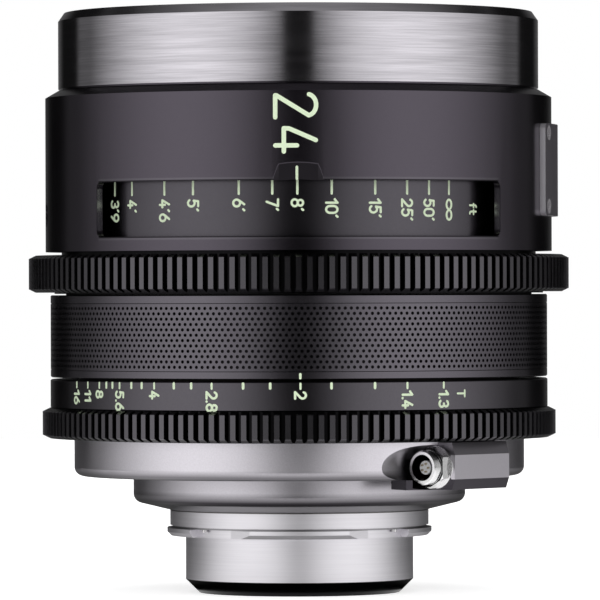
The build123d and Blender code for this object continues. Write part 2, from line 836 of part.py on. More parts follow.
with BuildPart() as stop_pins:
    with Locations(around(stop_circle, focus_stop_angle, sleeve_top - stop_root)):
        Cylinder(stop_radius, stop_root + focus_gap + stop_depth, align=low_align)
    with Locations(around(stop_circle, iris_stop_angle, sleeve_bottom + stop_root)):
        Cylinder(stop_radius, stop_root + sleeve_gap + stop_depth, align=high_align)
save("stop_pins", stop_pins)

with BuildPart() as focus_slip_ring:
    revolve(band(ring_bore, slip_ring_radius, sleeve_top, focus_bottom), axis=Axis.Z)
save("focus_slip_ring", focus_slip_ring)

with BuildPart() as focus_gear:
    with BuildSketch(Plane.XY.offset(focus_teeth_bottom)):
        with BuildLine():
            Polyline(*gear_outline(focus_gear_teeth, focus_gear_radius), close=True)
        make_face()
    extrude(amount=focus_gear_height)
    revolve(gear_section(ring_bore, focus_gear_radius, focus_teeth_bottom, focus_teeth_top),
            axis=Axis.Z, mode=Mode.INTERSECT)
    revolve(band(ring_bore, focus_shoulder_radius, focus_bottom, focus_teeth_bottom), axis=Axis.Z)
    revolve(band(ring_bore, focus_neck_radius, focus_teeth_top, focus_top), axis=Axis.Z)
    revolve(band(stop_circle - stop_reach, stop_circle + stop_reach, focus_bottom - overrun,
                 focus_bottom + stop_depth + stop_gap,
                 angle=focus_stop_angle - focus_high_angle - stop_half_angle), axis=Axis.Z,
            revolution_arc=focus_high_angle - focus_low_angle + 2 * stop_half_angle,
            mode=Mode.SUBTRACT)
save("focus_gear", focus_gear)

with BuildPart() as cam_barrel:
    revolve(band(ring_bore, cam_radius, focus_top, cam_top), axis=Axis.Z)
save("cam_barrel", cam_barrel)

with BuildPart() as scale_drum:
    revolve(band(drum_bore, drum_radius, focus_top, drum_top), axis=Axis.Z)
save("scale_drum", scale_drum)


# Upper barrel, front ring and what they carry

with BuildPart() as upper_barrel:
    seat_radius = front_spigot_radius + ring_seat_width
    revolve(section((barrel_bore, focus_top), (barrel_radius, focus_top), (barrel_radius, barrel_top),
                    (front_ring_radius, ring_line), (seat_radius, ring_line),
                    (seat_radius, ring_bottom), (front_spigot_radius, ring_bottom),
                    (front_spigot_radius, front_cell_top), (front_spigot_bore, front_cell_top),
                    (front_spigot_bore, web_top),
                    (tube_inner_radius + fit_gap, web_top), (tube_inner_radius + fit_gap, tube_top),
                    (tube_outer_radius + fit_gap, tube_top), (tube_outer_radius + fit_gap, web_bottom),
                    (barrel_bore, web_bottom)), axis=Axis.Z)
    revolve(band(barrel_bore - overrun, barrel_radius + overrun, window_low, window_high,
                 angle=-window_half_angle), axis=Axis.Z, revolution_arc=2 * window_half_angle,
            mode=Mode.SUBTRACT)
    window_corners = upper_barrel.edges().filter_by(GeomType.LINE).filter_by(
        lambda edge: abs(edge.length - barrel_wall) < tiny)
    fillet(window_corners, window_corner)
    with BuildSketch(Plane.XY.offset(window_high - overrun)) as notch_foot:
        with BuildLine():
            Polyline((-notch_width / 2 - notch_side, -barrel_radius - overrun),
                     (notch_width / 2 + notch_side, -barrel_radius - overrun),
                     (notch_width / 2 - notch_side, notch_depth - barrel_radius),
                     (notch_side - notch_width / 2, notch_depth - barrel_radius), close=True)
        make_face()
    with BuildSketch(Plane.XY.offset(window_high + notch_height)) as notch_tip:
        with BuildLine():
            Polyline((-notch_width / 2, -barrel_radius - overrun),
                     (notch_width / 2, -barrel_radius - overrun),
                     (notch_width / 2 - notch_side, -barrel_radius),
                     (notch_side - notch_width / 2, -barrel_radius), close=True)
        make_face()
    loft(ruled=True, mode=Mode.SUBTRACT)
    with BuildSketch(outward_plane(barrel_radius + overrun, plug_angle, plug_centre)):
        Circle(plug_radius + fit_gap)
    extrude(amount=-barrel_wall - 2 * overrun, mode=Mode.SUBTRACT)
    for place in badge_screw_places:
        with BuildSketch(place):
            Circle(badge_screw_radius + fit_gap)
        extrude(amount=-badge_screw_length - fit_gap, mode=Mode.SUBTRACT)
save("upper_barrel", upper_barrel)

with BuildPart() as side_plug:
    with BuildSketch(outward_plane(barrel_bore, plug_angle, plug_centre)):
        Circle(plug_radius)
    extrude(amount=barrel_wall - plug_recess)
    with BuildSketch(outward_plane(barrel_radius, plug_angle, plug_centre)):
        Rectangle(plug_slot_width, 2 * plug_radius)
    extrude(amount=-plug_recess - plug_slot_width, mode=Mode.SUBTRACT)
save("side_plug", side_plug)

with BuildPart() as badge_plate:
    revolve(band(barrel_radius + plate_gap, badge_face, badge_low, badge_high,
                 angle=90 - badge_half_angle), axis=Axis.Z, revolution_arc=2 * badge_half_angle)
    badge_corners = badge_plate.edges().filter_by(GeomType.LINE).filter_by(
        lambda edge: edge.length < badge_thickness + tiny)
    fillet(badge_corners, badge_corner)
    with Locations(*badge_screw_places):
        CounterSinkHole(badge_screw_radius + fit_gap, badge_head_radius + fit_gap,
                        depth=2 * badge_thickness, counter_sink_angle=sink_angle)
save("badge_plate", badge_plate)

with BuildPart() as badge_screws:
    for place in badge_screw_places:
        with BuildSketch(place):
            Circle(badge_screw_radius)
        extrude(amount=-badge_screw_length)
        with Locations(place * Location((0, 0, 0), (180, 0, 0))):
            Cone(badge_head_radius, badge_screw_radius,
                 sink_depth(badge_head_radius, badge_screw_radius), align=low_align)
        with BuildSketch(place):
            RegularPolygon(hex_key_radius, 6)
        extrude(amount=-hex_key_depth, mode=Mode.SUBTRACT)
save("badge_screws", badge_screws)

with BuildPart() as front_ring:
    revolve(section((front_ring_bore, ring_bottom), (front_ring_radius, ring_bottom),
                    (front_ring_radius, ring_top - front_ring_bevel_height),
                    (front_ring_radius - front_ring_bevel_depth, ring_top),
                    (front_ring_bore, ring_top)), axis=Axis.Z)
save("front_ring", front_ring)

with BuildPart() as front_bezel:
    bezel_top = ring_top - bezel_drop
    bezel_outline = [(front_spigot_radius, front_cell_top), (front_spigot_radius, bezel_top),
                     (filter_radius, bezel_top)]
    step_radius = filter_radius
    step_top = bezel_top - filter_depth
    for step in range(bezel_step_count):
        bezel_outline.append((step_radius, step_top))
        step_radius -= bezel_step_width
        bezel_outline.append((step_radius, step_top))
        step_top -= bezel_step_height
    bezel_outline.append((step_radius, front_cell_top))
    revolve(section(*bezel_outline), axis=Axis.Z)
save("front_bezel", front_bezel)

with BuildPart() as front_cell:
    skirt_radius = tube_inner_radius - fit_gap
    revolve(section((skirt_radius, front_cell_bottom), (skirt_radius, web_top),
                    (collar_radius, web_top), (collar_radius, front_cell_top),
                    (glass_1_radius + fit_gap, front_cell_top), (glass_1_radius + fit_gap, glass_1_low),
                    (glass_1_radius - cell_ledge_width, glass_1_low),
                    (glass_1_radius - cell_ledge_width, glass_2_high + cell_floor),
                    (glass_2_radius + fit_gap, glass_2_high + cell_floor),
                    (glass_2_radius + fit_gap, glass_2_low), (glass_3_radius + fit_gap, glass_2_low),
                    (glass_3_radius + fit_gap, glass_3_low),
                    (glass_3_radius - cell_ledge_width, glass_3_low - seat_slope * cell_ledge_width),
                    (glass_3_radius - cell_ledge_width, front_cell_bottom)), axis=Axis.Z)
save("front_cell", front_cell)

with BuildPart() as front_retainer:
    retainer_bottom = glass_1_low + glass_1_edge + fit_gap
    revolve(section((glass_1_radius, retainer_bottom), (glass_1_radius, front_cell_top),
                    (glass_1_radius - front_retainer_width, front_cell_top),
                    (glass_1_radius - front_retainer_width, retainer_bottom + retainer_relief)),
            axis=Axis.Z)
save("front_retainer", front_retainer)


# Focus group, which slides in the inner tube

with BuildPart() as focus_cell:
    slide_radius = tube_inner_radius - running_gap
    wall_radius = slide_radius - focus_cell_wall
    core_radius = glass_4_radius + focus_core_wall
    web_low = focus_cell_bottom + focus_web_lift
    web_high = web_low + focus_web_height
    core_low = focus_cell_bottom + focus_core_lift
    core_high = core_low + focus_core_height
    septum_radius = glass_5_radius - cell_ledge_width
    revolve(section((slide_radius, focus_cell_bottom), (slide_radius, focus_cell_top),
                    (wall_radius, focus_cell_top), (wall_radius, web_high), (core_radius, web_high),
                    (core_radius, core_high), (glass_4_radius + fit_gap, core_high),
                    (glass_4_radius + fit_gap, glass_4_low), (septum_radius, glass_4_low),
                    (septum_radius, glass_5_high), (glass_5_radius + fit_gap, glass_5_high),
                    (glass_5_radius + fit_gap, core_low), (core_radius, core_low),
                    (core_radius, web_low), (wall_radius, web_low), (wall_radius, focus_cell_bottom)),
            axis=Axis.Z)
    for angle in roller_angles:
        with BuildSketch(outward_plane(slide_radius + overrun, angle, roller_centre)):
            Circle(roller_radius + fit_gap)
        extrude(amount=-overrun - roller_root, mode=Mode.SUBTRACT)
save("focus_cell", focus_cell)

with BuildPart() as cam_rollers:
    for angle in roller_angles:
        with BuildSketch(outward_plane(tube_inner_radius - running_gap - roller_root, angle,
                                       roller_centre)):
            Circle(roller_radius)
        extrude(amount=roller_root + tube_outer_radius - tube_inner_radius)
save("cam_rollers", cam_rollers)


# Iris

with BuildPart() as iris_cell:
    iris_radius = tube_inner_radius - fit_gap
    revolve(section((aperture_radius, iris_plate_low), (grey_wall_bore, iris_plate_low),
                    (grey_wall_bore, spigot_top), (iris_radius, spigot_top),
                    (iris_radius, iris_rim_top), (grey_wall_bore, iris_rim_top),
                    (grey_wall_bore, iris_plate_high), (aperture_radius, iris_plate_high)),
            axis=Axis.Z)
    with Locations(Location((0, 0, iris_plate_low - overrun))):
        with Locations(*[around(blade_pivot_circle, angle) for angle in blade_angles]):
            Cylinder(blade_pin_radius + fit_gap, iris_plate_thickness + 2 * overrun,
                     align=low_align, mode=Mode.SUBTRACT)
save("iris_cell", iris_cell)

for blade, angle in enumerate(blade_angles, start=1):
    blade_low = iris_plate_high + blade_lift + (blade - 1) * blade_pitch
    blade_plane = Plane(origin=around(blade_pivot_circle, angle, blade_low),
                        x_dir=around(1.0, angle + blade_rest_angle), z_dir=(0, 0, 1))
    with BuildPart() as iris_blade:
        with BuildSketch(blade_plane):
            with BuildLine():
                centre = (-blade_pivot_circle, 0)
                inner_arc = CenterArc(centre, blade_inner_radius, 0, blade_span)
                outer_arc = CenterArc(centre, blade_inner_radius + blade_width, 0, blade_span)
                Line(inner_arc @ 0, outer_arc @ 0)
                Line(inner_arc @ 1, outer_arc @ 1)
            make_face()
            Circle(blade_tab_radius)
        extrude(amount=blade_thickness)
        with BuildSketch(blade_plane):
            Circle(blade_pin_radius)
        extrude(amount=iris_plate_low - blade_low)
    save(f"iris_blade_{blade}", iris_blade)

with BuildPart() as iris_drive_ring:
    revolve(band(drive_ring_bore, tube_inner_radius - running_gap, drive_low, drive_high),
            axis=Axis.Z)
    revolve(band(tube_inner_radius - overrun, tube_outer_radius + drive_key_reach, drive_low,
                 drive_high, angle=drive_key_angle - drive_key_sweep / 2), axis=Axis.Z,
            revolution_arc=drive_key_sweep)
save("iris_drive_ring", iris_drive_ring)

with BuildPart() as iris_retainer:
    snap_low = drive_high + retainer_gap
    snap_radius = tube_inner_radius - fit_gap
    revolve(band(snap_radius - retainer_width, snap_radius, snap_low, snap_low + retainer_thickness),
            axis=Axis.Z)
save("iris_retainer", iris_retainer)


# Rear cell

with BuildPart() as rear_cell:
    head_radius = glass_6_radius + rear_head_wall
    tail_radius = tube_bore - fit_gap
    septum_bore = glass_9_radius - cell_ledge_width
    revolve(section((grey_floor_bore - fit_gap, base_top), (grey_floor_bore - fit_gap, rear_flange_top),
                    (head_radius, rear_flange_top), (head_radius, rear_head_top),
                    (glass_6_radius + fit_gap, rear_head_top), (glass_6_radius + fit_gap, glass_6_low),
                    (glass_7_radius + fit_gap,
                     glass_6_low - seat_slope * (glass_6_radius - glass_7_radius)),
                    (glass_7_radius + fit_gap, glass_8_low),
                    (septum_bore, glass_8_low - seat_slope * (glass_7_radius - septum_bore)),
                    (septum_bore, glass_9_high + seat_slope * cell_ledge_width),
                    (glass_9_radius + fit_gap, glass_9_high), (glass_9_radius + fit_gap, tail_low),
                    (tail_radius, tail_low), (tail_radius, base_top)), axis=Axis.Z)
save("rear_cell", rear_cell)

with BuildPart() as rear_spacers:
    spacer_inside = glass_7_radius - rear_spacer_width
    revolve(section((glass_7_radius, glass_8_high), (glass_7_radius, glass_7_low),
                    (spacer_inside, glass_7_low), (spacer_inside, glass_8_high + rear_spacer_relief)),
            axis=Axis.Z)
    revolve(band(spacer_inside, glass_7_radius, glass_7_high, glass_6_low - rear_spacer_gap),
            axis=Axis.Z)
save("rear_spacers", rear_spacers)

with BuildPart() as rear_group_ring:
    group_ring_low = glass_6_low + glass_6_edge + fit_gap
    revolve(section((glass_6_radius, group_ring_low), (glass_6_radius, rear_head_top),
                    (glass_6_radius - rear_retainer_width, rear_head_top),
                    (glass_6_radius - rear_retainer_width, group_ring_low + rear_retainer_relief)),
            axis=Axis.Z)
save("rear_group_ring", rear_group_ring)

with BuildPart() as rear_retainer:
    rear_retainer_high = glass_9_high - glass_9_edge - fit_gap
    rear_retainer_low = rear_retainer_high - rear_retainer_height
    revolve(section((glass_9_radius, rear_retainer_low), (glass_9_radius, rear_retainer_high),
                    (glass_9_radius - rear_retainer_width, rear_retainer_high - rear_retainer_relief),
                    (glass_9_radius - rear_retainer_width, rear_retainer_low)), axis=Axis.Z)
save("rear_retainer", rear_retainer)


# Glass, from the front of the lens to its rear

glasses = ((glass_1_radius, glass_1_low, glass_1_edge, glass_1_front, glass_1_rear),
           (glass_2_radius, glass_2_low, glass_2_edge, glass_2_front, glass_2_rear),
           (glass_3_radius, glass_3_low, glass_3_edge, glass_3_front, glass_3_rear),
           (glass_4_radius, glass_4_low, glass_4_edge, glass_4_front, glass_4_rear),
           (glass_5_radius, glass_5_high - glass_5_edge, glass_5_edge, glass_5_front, glass_5_rear),
           (glass_6_radius, glass_6_low, glass_6_edge, glass_6_front, glass_6_rear),
           (glass_7_radius, glass_7_low, glass_7_edge, glass_7_front, glass_7_rear),
           (glass_7_radius, glass_8_low, glass_8_edge, glass_8_front, glass_8_rear),
           (glass_9_radius, glass_9_high - glass_9_edge, glass_9_edge, glass_9_front, glass_9_rear))

for number, glass in enumerate(glasses, start=1):
    with BuildPart() as element:
        revolve(glass_section(*glass), axis=Axis.Z)
    save(f"element_{number}", element)
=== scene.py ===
"""Looks of the cinema prime lens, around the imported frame.

Metal finishes for its pieces, a perforated grip sleeve, painted scales, and a studio to see it in.
Lengths are in metres, with Z up the optical axis and -Y towards the camera.
"""

import json
from math import ceil, cos, degrees, hypot, pi, radians, sin

import bmesh
import bpy
from mathutils import Matrix, Vector


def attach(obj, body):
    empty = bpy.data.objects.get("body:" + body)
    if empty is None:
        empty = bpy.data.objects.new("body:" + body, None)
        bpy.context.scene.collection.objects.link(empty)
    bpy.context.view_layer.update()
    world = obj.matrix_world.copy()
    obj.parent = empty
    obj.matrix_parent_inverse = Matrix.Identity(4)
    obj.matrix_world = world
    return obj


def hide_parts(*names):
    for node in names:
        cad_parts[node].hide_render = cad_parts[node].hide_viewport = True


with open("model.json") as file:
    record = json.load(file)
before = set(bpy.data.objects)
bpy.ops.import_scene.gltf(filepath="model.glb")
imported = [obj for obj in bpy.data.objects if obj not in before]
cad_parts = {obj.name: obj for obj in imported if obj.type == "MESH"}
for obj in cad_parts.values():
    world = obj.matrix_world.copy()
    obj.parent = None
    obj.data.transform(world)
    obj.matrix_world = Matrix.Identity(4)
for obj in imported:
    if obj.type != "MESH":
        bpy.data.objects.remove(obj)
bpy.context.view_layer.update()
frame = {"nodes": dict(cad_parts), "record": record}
MM = 0.001

# Places on the lens that its finishes and painted marks go by

BARREL_RADIUS = 60.1 * MM
DRUM_RADIUS = 55.2 * MM
IRIS_RING_RADIUS = 59.0 * MM
SLEEVE_RADIUS = 58.95 * MM
WINDOW_MIDDLE = 76.75 * MM
WINDOW_HALF_HEIGHT = 6.2 * MM
WINDOW_HALF_ANGLE = radians(50.3)
NOTCH_HALF_WIDTH = 5.95 * MM
NOTCH_TOP = 87.3 * MM
BASE_TOP = 14.2 * MM
SOCKET_CENTRE = (31.84 * MM, -42.64 * MM, 17.1 * MM)
SOCKET_WAY = (-0.6428, -0.766, 0.0)


# Node trees

class Value:
    """A socket of a node tree. Python's operators on it add Math nodes."""

    def __init__(self, tree, socket):
        self.tree = tree
        self.socket = socket

    def maths(self, operation, *others):
        return self.tree.maths(operation, self, *others)

    def __add__(self, other):
        return self.maths("ADD", other)

    def __sub__(self, other):
        return self.maths("SUBTRACT", other)

    def __rsub__(self, other):
        return self.tree.maths("SUBTRACT", other, self)

    def __mul__(self, other):
        return self.maths("MULTIPLY", other)

    def __truediv__(self, other):
        return self.maths("DIVIDE", other)

    def __rtruediv__(self, other):
        return self.tree.maths("DIVIDE", other, self)

    def __mod__(self, other):
        return self.maths("MODULO", other)

    def __lt__(self, other):
        return self.maths("LESS_THAN", other)

    def __gt__(self, other):
        return self.maths("GREATER_THAN", other)

    __radd__ = __add__
    __rmul__ = __mul__


class Tree:
    """A node tree that is filled one node at a time."""

    def __init__(self, tree):
        self.tree = tree
        tree.nodes.clear()

    def node(self, kind, settings=None, inputs=None, output=0):
        made = self.tree.nodes.new(kind)
        for name, value in (settings or {}).items():
            setattr(made, name, value)
        for name, value in (inputs or {}).items():
            if isinstance(value, Value):
                self.tree.links.new(value.socket, made.inputs[name])
            else:
                made.inputs[name].default_value = value
        return Value(self, made.outputs[output]) if made.outputs else made

    def maths(self, operation, *values):
        return self.node("ShaderNodeMath", {"operation": operation}, dict(enumerate(values)))

    def blend(self, share, first, second):
        """A colour between two colours."""
        return self.node("ShaderNodeMix", {"data_type": "RGBA"}, {0: share, 6: first, 7: second}, 2)

    def remap(self, value, low, high, to_low=0.0, to_high=1.0, how="LINEAR"):
        """The value carried from one range to another, and kept inside it."""
        return self.node("ShaderNodeMapRange", {"interpolation_type": how},
                         {"Value": value, "From Min": low, "From Max": high,
                          "To Min": to_low, "To Max": to_high})


class Finish(Tree):
    """A surface finish as a material."""

    def __init__(self, name):
        self.material = bpy.data.materials.new(name)
        self.material.use_nodes = True
        super().__init__(self.material.node_tree)
        self.place = self.node("ShaderNodeTexCoord", output="Object")

    def axis(self, name):
        return self.node("ShaderNodeSeparateXYZ", inputs={0: self.place}, output=name)

    def reach(self):
        """Distance from the optical axis."""
        flat = self.node("ShaderNodeVectorMath", {"operation": "MULTIPLY"},
                         {0: self.place, 1: (1, 1, 0)})
        return self.node("ShaderNodeVectorMath", {"operation": "LENGTH"}, {0: flat}, "Value")

    def noise(self, scale, detail=2.0, vector=None):
        return self.node("ShaderNodeTexNoise", {"noise_dimensions": "3D"},
                         {"Vector": vector or self.place, "Scale": scale, "Detail": detail})

    def turned(self, along, across, detail=2.0):
        """Tool lines that run round the axis, as a lathe or a brush leaves them."""
        line = (self.axis("Z") + self.reach()) * across
        lines = self.node("ShaderNodeCombineXYZ", inputs={0: self.axis("X") * along,
                                                          1: self.axis("Y") * along, 2: line})
        return self.noise(1.0, detail, lines)

    def bumped(self, height, distance, strength=1.0):
        return self.node("ShaderNodeBump", inputs={"Strength": strength, "Distance": distance,
                                                   "Height": height})

    def done(self, **inputs):
        surface = self.node("ShaderNodeBsdfPrincipled",
                            inputs={name.replace("_", " ").title().replace("Ior", "IOR"): value
                                    for name, value in inputs.items()})
        self.node("ShaderNodeOutputMaterial", inputs={"Surface": surface})
        return self.material


def shade(colour, share):
    return (*[part * share for part in colour[:3]], 1.0)


def brushed_metal(name, colour, roughness, along, across, depth, spread=0.1, stretch=0.0):
    """Bare or anodised metal with fine lines round the axis."""
    finish = Finish(name)
    fine = finish.turned(along, across)
    broad = finish.turned(along / 3, across / 6, 1.0)
    streak = finish.remap(fine * 0.6 + broad * 0.4, 0.35, 0.65)
    return finish.done(
        base_color=finish.blend(streak, shade(colour, 1 - spread), shade(colour, 1 + spread / 2)),
        metallic=1.0, anisotropic=stretch, anisotropic_rotation=0.25,
        roughness=finish.remap(broad, 0.3, 0.7, roughness * 1.15, roughness * 0.9),
        normal=finish.bumped(fine, depth))


def blasted_metal(name, colour, roughness, grain=3200.0, depth=2.0e-6, spread=0.05):
    """Metal with the even, fine grain of bead blasting."""
    finish = Finish(name)
    speck = finish.noise(grain)
    cloud = finish.noise(70.0, 3.0)
    tone = finish.remap(speck * 0.7 + cloud * 0.3, 0.35, 0.65)
    return finish.done(
        base_color=finish.blend(tone, shade(colour, 1 - spread), shade(colour, 1 + spread)),
        metallic=1.0, roughness=finish.remap(cloud, 0.3, 0.7, roughness * 0.94, roughness * 1.06),
        normal=finish.bumped(speck, depth))


def soft_coat(name, colour, roughness, grain=2400.0, depth=3.0e-6, spread=0.15):
    """Paint, plastic or flocking: not metal, with a little grain."""
    finish = Finish(name)
    speck = finish.noise(grain)
    cloud = finish.noise(90.0, 3.0)
    tone = finish.remap(speck * 0.6 + cloud * 0.4, 0.3, 0.7)
    return finish.done(
        base_color=finish.blend(tone, shade(colour, 1 - spread), shade(colour, 1 + spread)),
        roughness=finish.remap(cloud, 0.3, 0.7, roughness * 0.92, roughness * 1.08),
        normal=finish.bumped(speck, depth))


def tube_metal(name):
    """Brass, with painted shade on the outside: black there, so that the gaps between the rings
    show dark, not brass.
    """
    painted_shade_reach = 51.9 * MM
    finish = Finish(name)
    fine = finish.turned(30.0, 2500.0)
    # Painted shade: the outside of the tube, seen only through the gaps between the rings, is
    # painted black.
    outside = finish.reach() > painted_shade_reach
    bare = finish.blend(fine, (0.68, 0.5, 0.25, 1), (0.8, 0.6, 0.31, 1))
    return finish.done(
        base_color=finish.blend(outside, bare, (0.012, 0.011, 0.01, 1)), metallic=1.0,
        roughness=finish.remap(fine, 0.3, 0.7, 0.28, 0.36), normal=finish.bumped(fine, 1.5e-6))


def plate_metal(name):
    """Dark satin plate, cut bright at its edges and in its screw sinks."""
    face_reach = 61.5 * MM
    finish = Finish(name)
    speck = finish.noise(3200.0)
    cut = finish.reach() < face_reach
    dark = finish.blend(speck, (0.25, 0.235, 0.26, 1), (0.29, 0.275, 0.3, 1))
    return finish.done(
        base_color=finish.blend(cut, dark, (0.95, 0.93, 0.97, 1)), metallic=1.0,
        roughness=finish.remap(speck, 0.3, 0.7, 0.46, 0.54), normal=finish.bumped(speck, 2.0e-6))


def barrel_metal(name):
    """Dark anodised barrel, with painted highlights and painted shade about its window and its
    index notch.
    """
    wall_half_height, notch_foot = 4.85 * MM, 83.0 * MM
    line_width, glint_width = 0.42 * MM, 0.9 * MM
    finish = Finish(name)
    speck = finish.noise(2600.0)
    cloud = finish.noise(60.0, 3.0)
    dark = finish.blend(speck, (0.098, 0.087, 0.105, 1), (0.112, 0.099, 0.12, 1))
    turn = finish.maths("ABSOLUTE", finish.axis("X").maths("ARCTAN2", 0 - finish.axis("Y")))
    reach, height = finish.reach(), finish.axis("Z")
    middle = finish.maths("ABSOLUTE", height - WINDOW_MIDDLE)
    outer = reach > BARREL_RADIUS - 0.2 * MM
    # Painted highlight: the end walls of the window are painted lighter, as if lit.
    lit_end_walls = ((1 - outer) * (reach > DRUM_RADIUS + 0.4 * MM)
             * (turn < WINDOW_HALF_ANGLE + radians(4.7)) * (middle < wall_half_height))
    beside = (turn < WINDOW_HALF_ANGLE) * outer * (middle > WINDOW_HALF_HEIGHT)
    # Painted shade in a thin dark line along the window's top and bottom edges, and a painted
    # highlight in a band just beyond it.
    edge = beside * (middle < WINDOW_HALF_HEIGHT + line_width)
    glint = beside * (middle < WINDOW_HALF_HEIGHT + glint_width) * 0.35
    painted_glint = finish.blend(glint, dark, (0.2, 0.19, 0.21, 1))
    # Painted shade: the floor of the index notch is painted near black.
    notch = ((finish.maths("ABSOLUTE", finish.axis("X")) < NOTCH_HALF_WIDTH)
             * (height > notch_foot) * (height < NOTCH_TOP)
             * (reach < BARREL_RADIUS - 0.1 * MM) * (turn < radians(20)))
    glint_and_shade = finish.blend(finish.maths("MAXIMUM", edge, notch), painted_glint, (0.03, 0.027, 0.032, 1))
    return finish.done(
        base_color=finish.blend(lit_end_walls, glint_and_shade, (0.4, 0.38, 0.42, 1)), metallic=1.0,
        roughness=finish.remap(cloud, 0.3, 0.7, 0.2, 0.24), normal=finish.bumped(speck, 1.0e-6))


def dark_metal(name, colour, rim):
    """Dark anodised metal, with painted shade, near black, where it lies below its rim, as in tooth
    gaps and holes.
    """
    painted_shade_share = 0.1
    finish = Finish(name)
    speck = finish.noise(2600.0)
    cloud = finish.noise(70.0, 3.0)
    if callable(rim):
        rim = rim(finish)
    bare = finish.blend(speck, shade(colour, 0.93), shade(colour, 1.07))
    # Painted shade: tooth gaps and holes, below the rim, are painted near black.
    shaded_hollow = finish.reach() < rim
    return finish.done(
        base_color=finish.blend(shaded_hollow, bare, shade(colour, painted_shade_share)), metallic=1.0,
        roughness=finish.remap(cloud, 0.3, 0.7, 0.21, 0.25), normal=finish.bumped(speck, 1.0e-6))


def below_teeth(finish):
    """The reach under which a tooth gap carries painted shade, on the upper gear and on the lower
    one.
    """
    upper_reach, lower_reach, between_gears = 63.6 * MM, 60.4 * MM, 45.0 * MM
    return lower_reach + (finish.axis("Z") > between_gears) * (upper_reach - lower_reach)


def grey_metal(name):
    """Bead-blasted light metal, with painted shade at its lower edges and in the hollow by the
    connector.
    """
    base_edge_high, base_edge_low = 11.0 * MM, 8.6 * MM
    housing_edge_high, housing_edge_low = 16.6 * MM, 15.0 * MM
    hollow_inner, hollow_floor, hollow_mouth = 43.0 * MM, 49.0 * MM, 53.0 * MM
    finish = Finish(name)
    speck = finish.noise(3200.0)
    cloud = finish.noise(70.0, 3.0)
    reach, height = finish.reach(), finish.axis("Z")
    tone = finish.remap(speck * 0.7 + cloud * 0.3, 0.35, 0.65)
    bare = finish.blend(tone, (0.73, 0.7, 0.75, 1), (0.8, 0.77, 0.825, 1))
    # Painted shade: the base darkens a little all over and more towards its bottom, the housing
    # towards its lower edge.
    on_base = height < BASE_TOP
    base_edge_shade = finish.remap(height, base_edge_high, base_edge_low) * 0.78 + on_base * 0.2
    housing_edge_shade = (1 - on_base) * finish.remap(height, housing_edge_high, housing_edge_low) * 0.75
    edge_shaded = finish.blend(finish.maths("MAXIMUM", base_edge_shade, housing_edge_shade), bare,
                         (0.03, 0.027, 0.032, 1))
    # Painted shade in the hollow by the connector, darkest at its floor.
    shaded = (reach > hollow_inner) * finish.remap(reach, hollow_floor, hollow_mouth, 0.97, 0.0)
    return finish.done(
        base_color=finish.blend(shaded, edge_shaded, (0.02, 0.02, 0.022, 1)), metallic=1.0,
        roughness=finish.remap(cloud, 0.3, 0.7, 0.29, 0.33), normal=finish.bumped(speck, 2.0e-6))


def block_metal(name):
    """Bead-blasted connector block, with painted shade on its bevels and its foot."""
    foot_top, top_bevel_foot = 14.37 * MM, 19.97 * MM
    finish = Finish(name)
    speck = finish.noise(3200.0)
    bare = finish.blend(speck, (0.6, 0.575, 0.62, 1), (0.68, 0.65, 0.7, 1))
    height = finish.axis("Z")
    # Painted shade: the foot is painted dark, and the top bevel nearly so.
    shaded = (height < foot_top) + (height > top_bevel_foot) * 0.72
    return finish.done(
        base_color=finish.blend(shaded, bare, (0.06, 0.055, 0.065, 1)), metallic=1.0,
        roughness=finish.remap(speck, 0.3, 0.7, 0.29, 0.33), normal=finish.bumped(speck, 2.0e-6))


def connector_metal(name):
    """Satin plating, with painted shade, near black, inside the socket and where the shell leaves
    its nut.
    """
    bore_radius, shell_radius, nut_radius, nut_face = 3.02 * MM, 4.03 * MM, 4.5 * MM, 3.3 * MM
    finish = Finish(name)
    fine = finish.noise(2500.0)
    away = finish.node("ShaderNodeVectorMath", {"operation": "SUBTRACT"},
                       {0: finish.place, 1: SOCKET_CENTRE})
    across = finish.node("ShaderNodeVectorMath", {"operation": "CROSS_PRODUCT"},
                         {0: away, 1: SOCKET_WAY})
    beside = finish.node("ShaderNodeVectorMath", {"operation": "LENGTH"}, {0: across}, "Value")
    along = finish.node("ShaderNodeVectorMath", {"operation": "DOT_PRODUCT"},
                        {0: away, 1: SOCKET_WAY}, "Value")
    # Painted shade in the bore of the socket and in the gap between the shell and its nut.
    gap = (along > nut_face) * (beside > shell_radius) * (beside < nut_radius)
    inside = finish.maths("MAXIMUM", beside < bore_radius, gap)
    bright = finish.blend(fine, (0.94, 0.935, 0.94, 1), (0.99, 0.985, 0.99, 1))
    return finish.done(
        base_color=finish.blend(inside, bright, (0.01, 0.01, 0.01, 1)), metallic=1.0,
        roughness=finish.remap(fine, 0.3, 0.7, 0.2, 0.26), normal=finish.bumped(fine, 6.0e-7))


def mount_metal(name):
    """Satin steel of the mount, darkened at its rear chamfer, with painted shade in the groove over
    its ears.
    """
    chamfer_top, line_low, line_high = -10.3 * MM, 1.85 * MM, 2.3 * MM
    finish = Finish(name)
    fine = finish.turned(40.0, 3000.0)
    cloud = finish.noise(80.0, 3.0)
    bare = finish.blend(finish.remap(fine, 0.35, 0.65), (0.82, 0.8, 0.84, 1), (0.86, 0.84, 0.88, 1))
    height = finish.axis("Z")
    # Painted shade: a dark line in the groove over the ears.
    line = (height > line_low) * (height < line_high) * 0.6
    black = finish.maths("MAXIMUM", height < chamfer_top, line)
    return finish.done(
        base_color=finish.blend(black, bare, (0.008, 0.008, 0.009, 1)), metallic=1.0,
        roughness=finish.remap(cloud, 0.3, 0.7, 0.33, 0.37), normal=finish.bumped(fine, 5.0e-7))


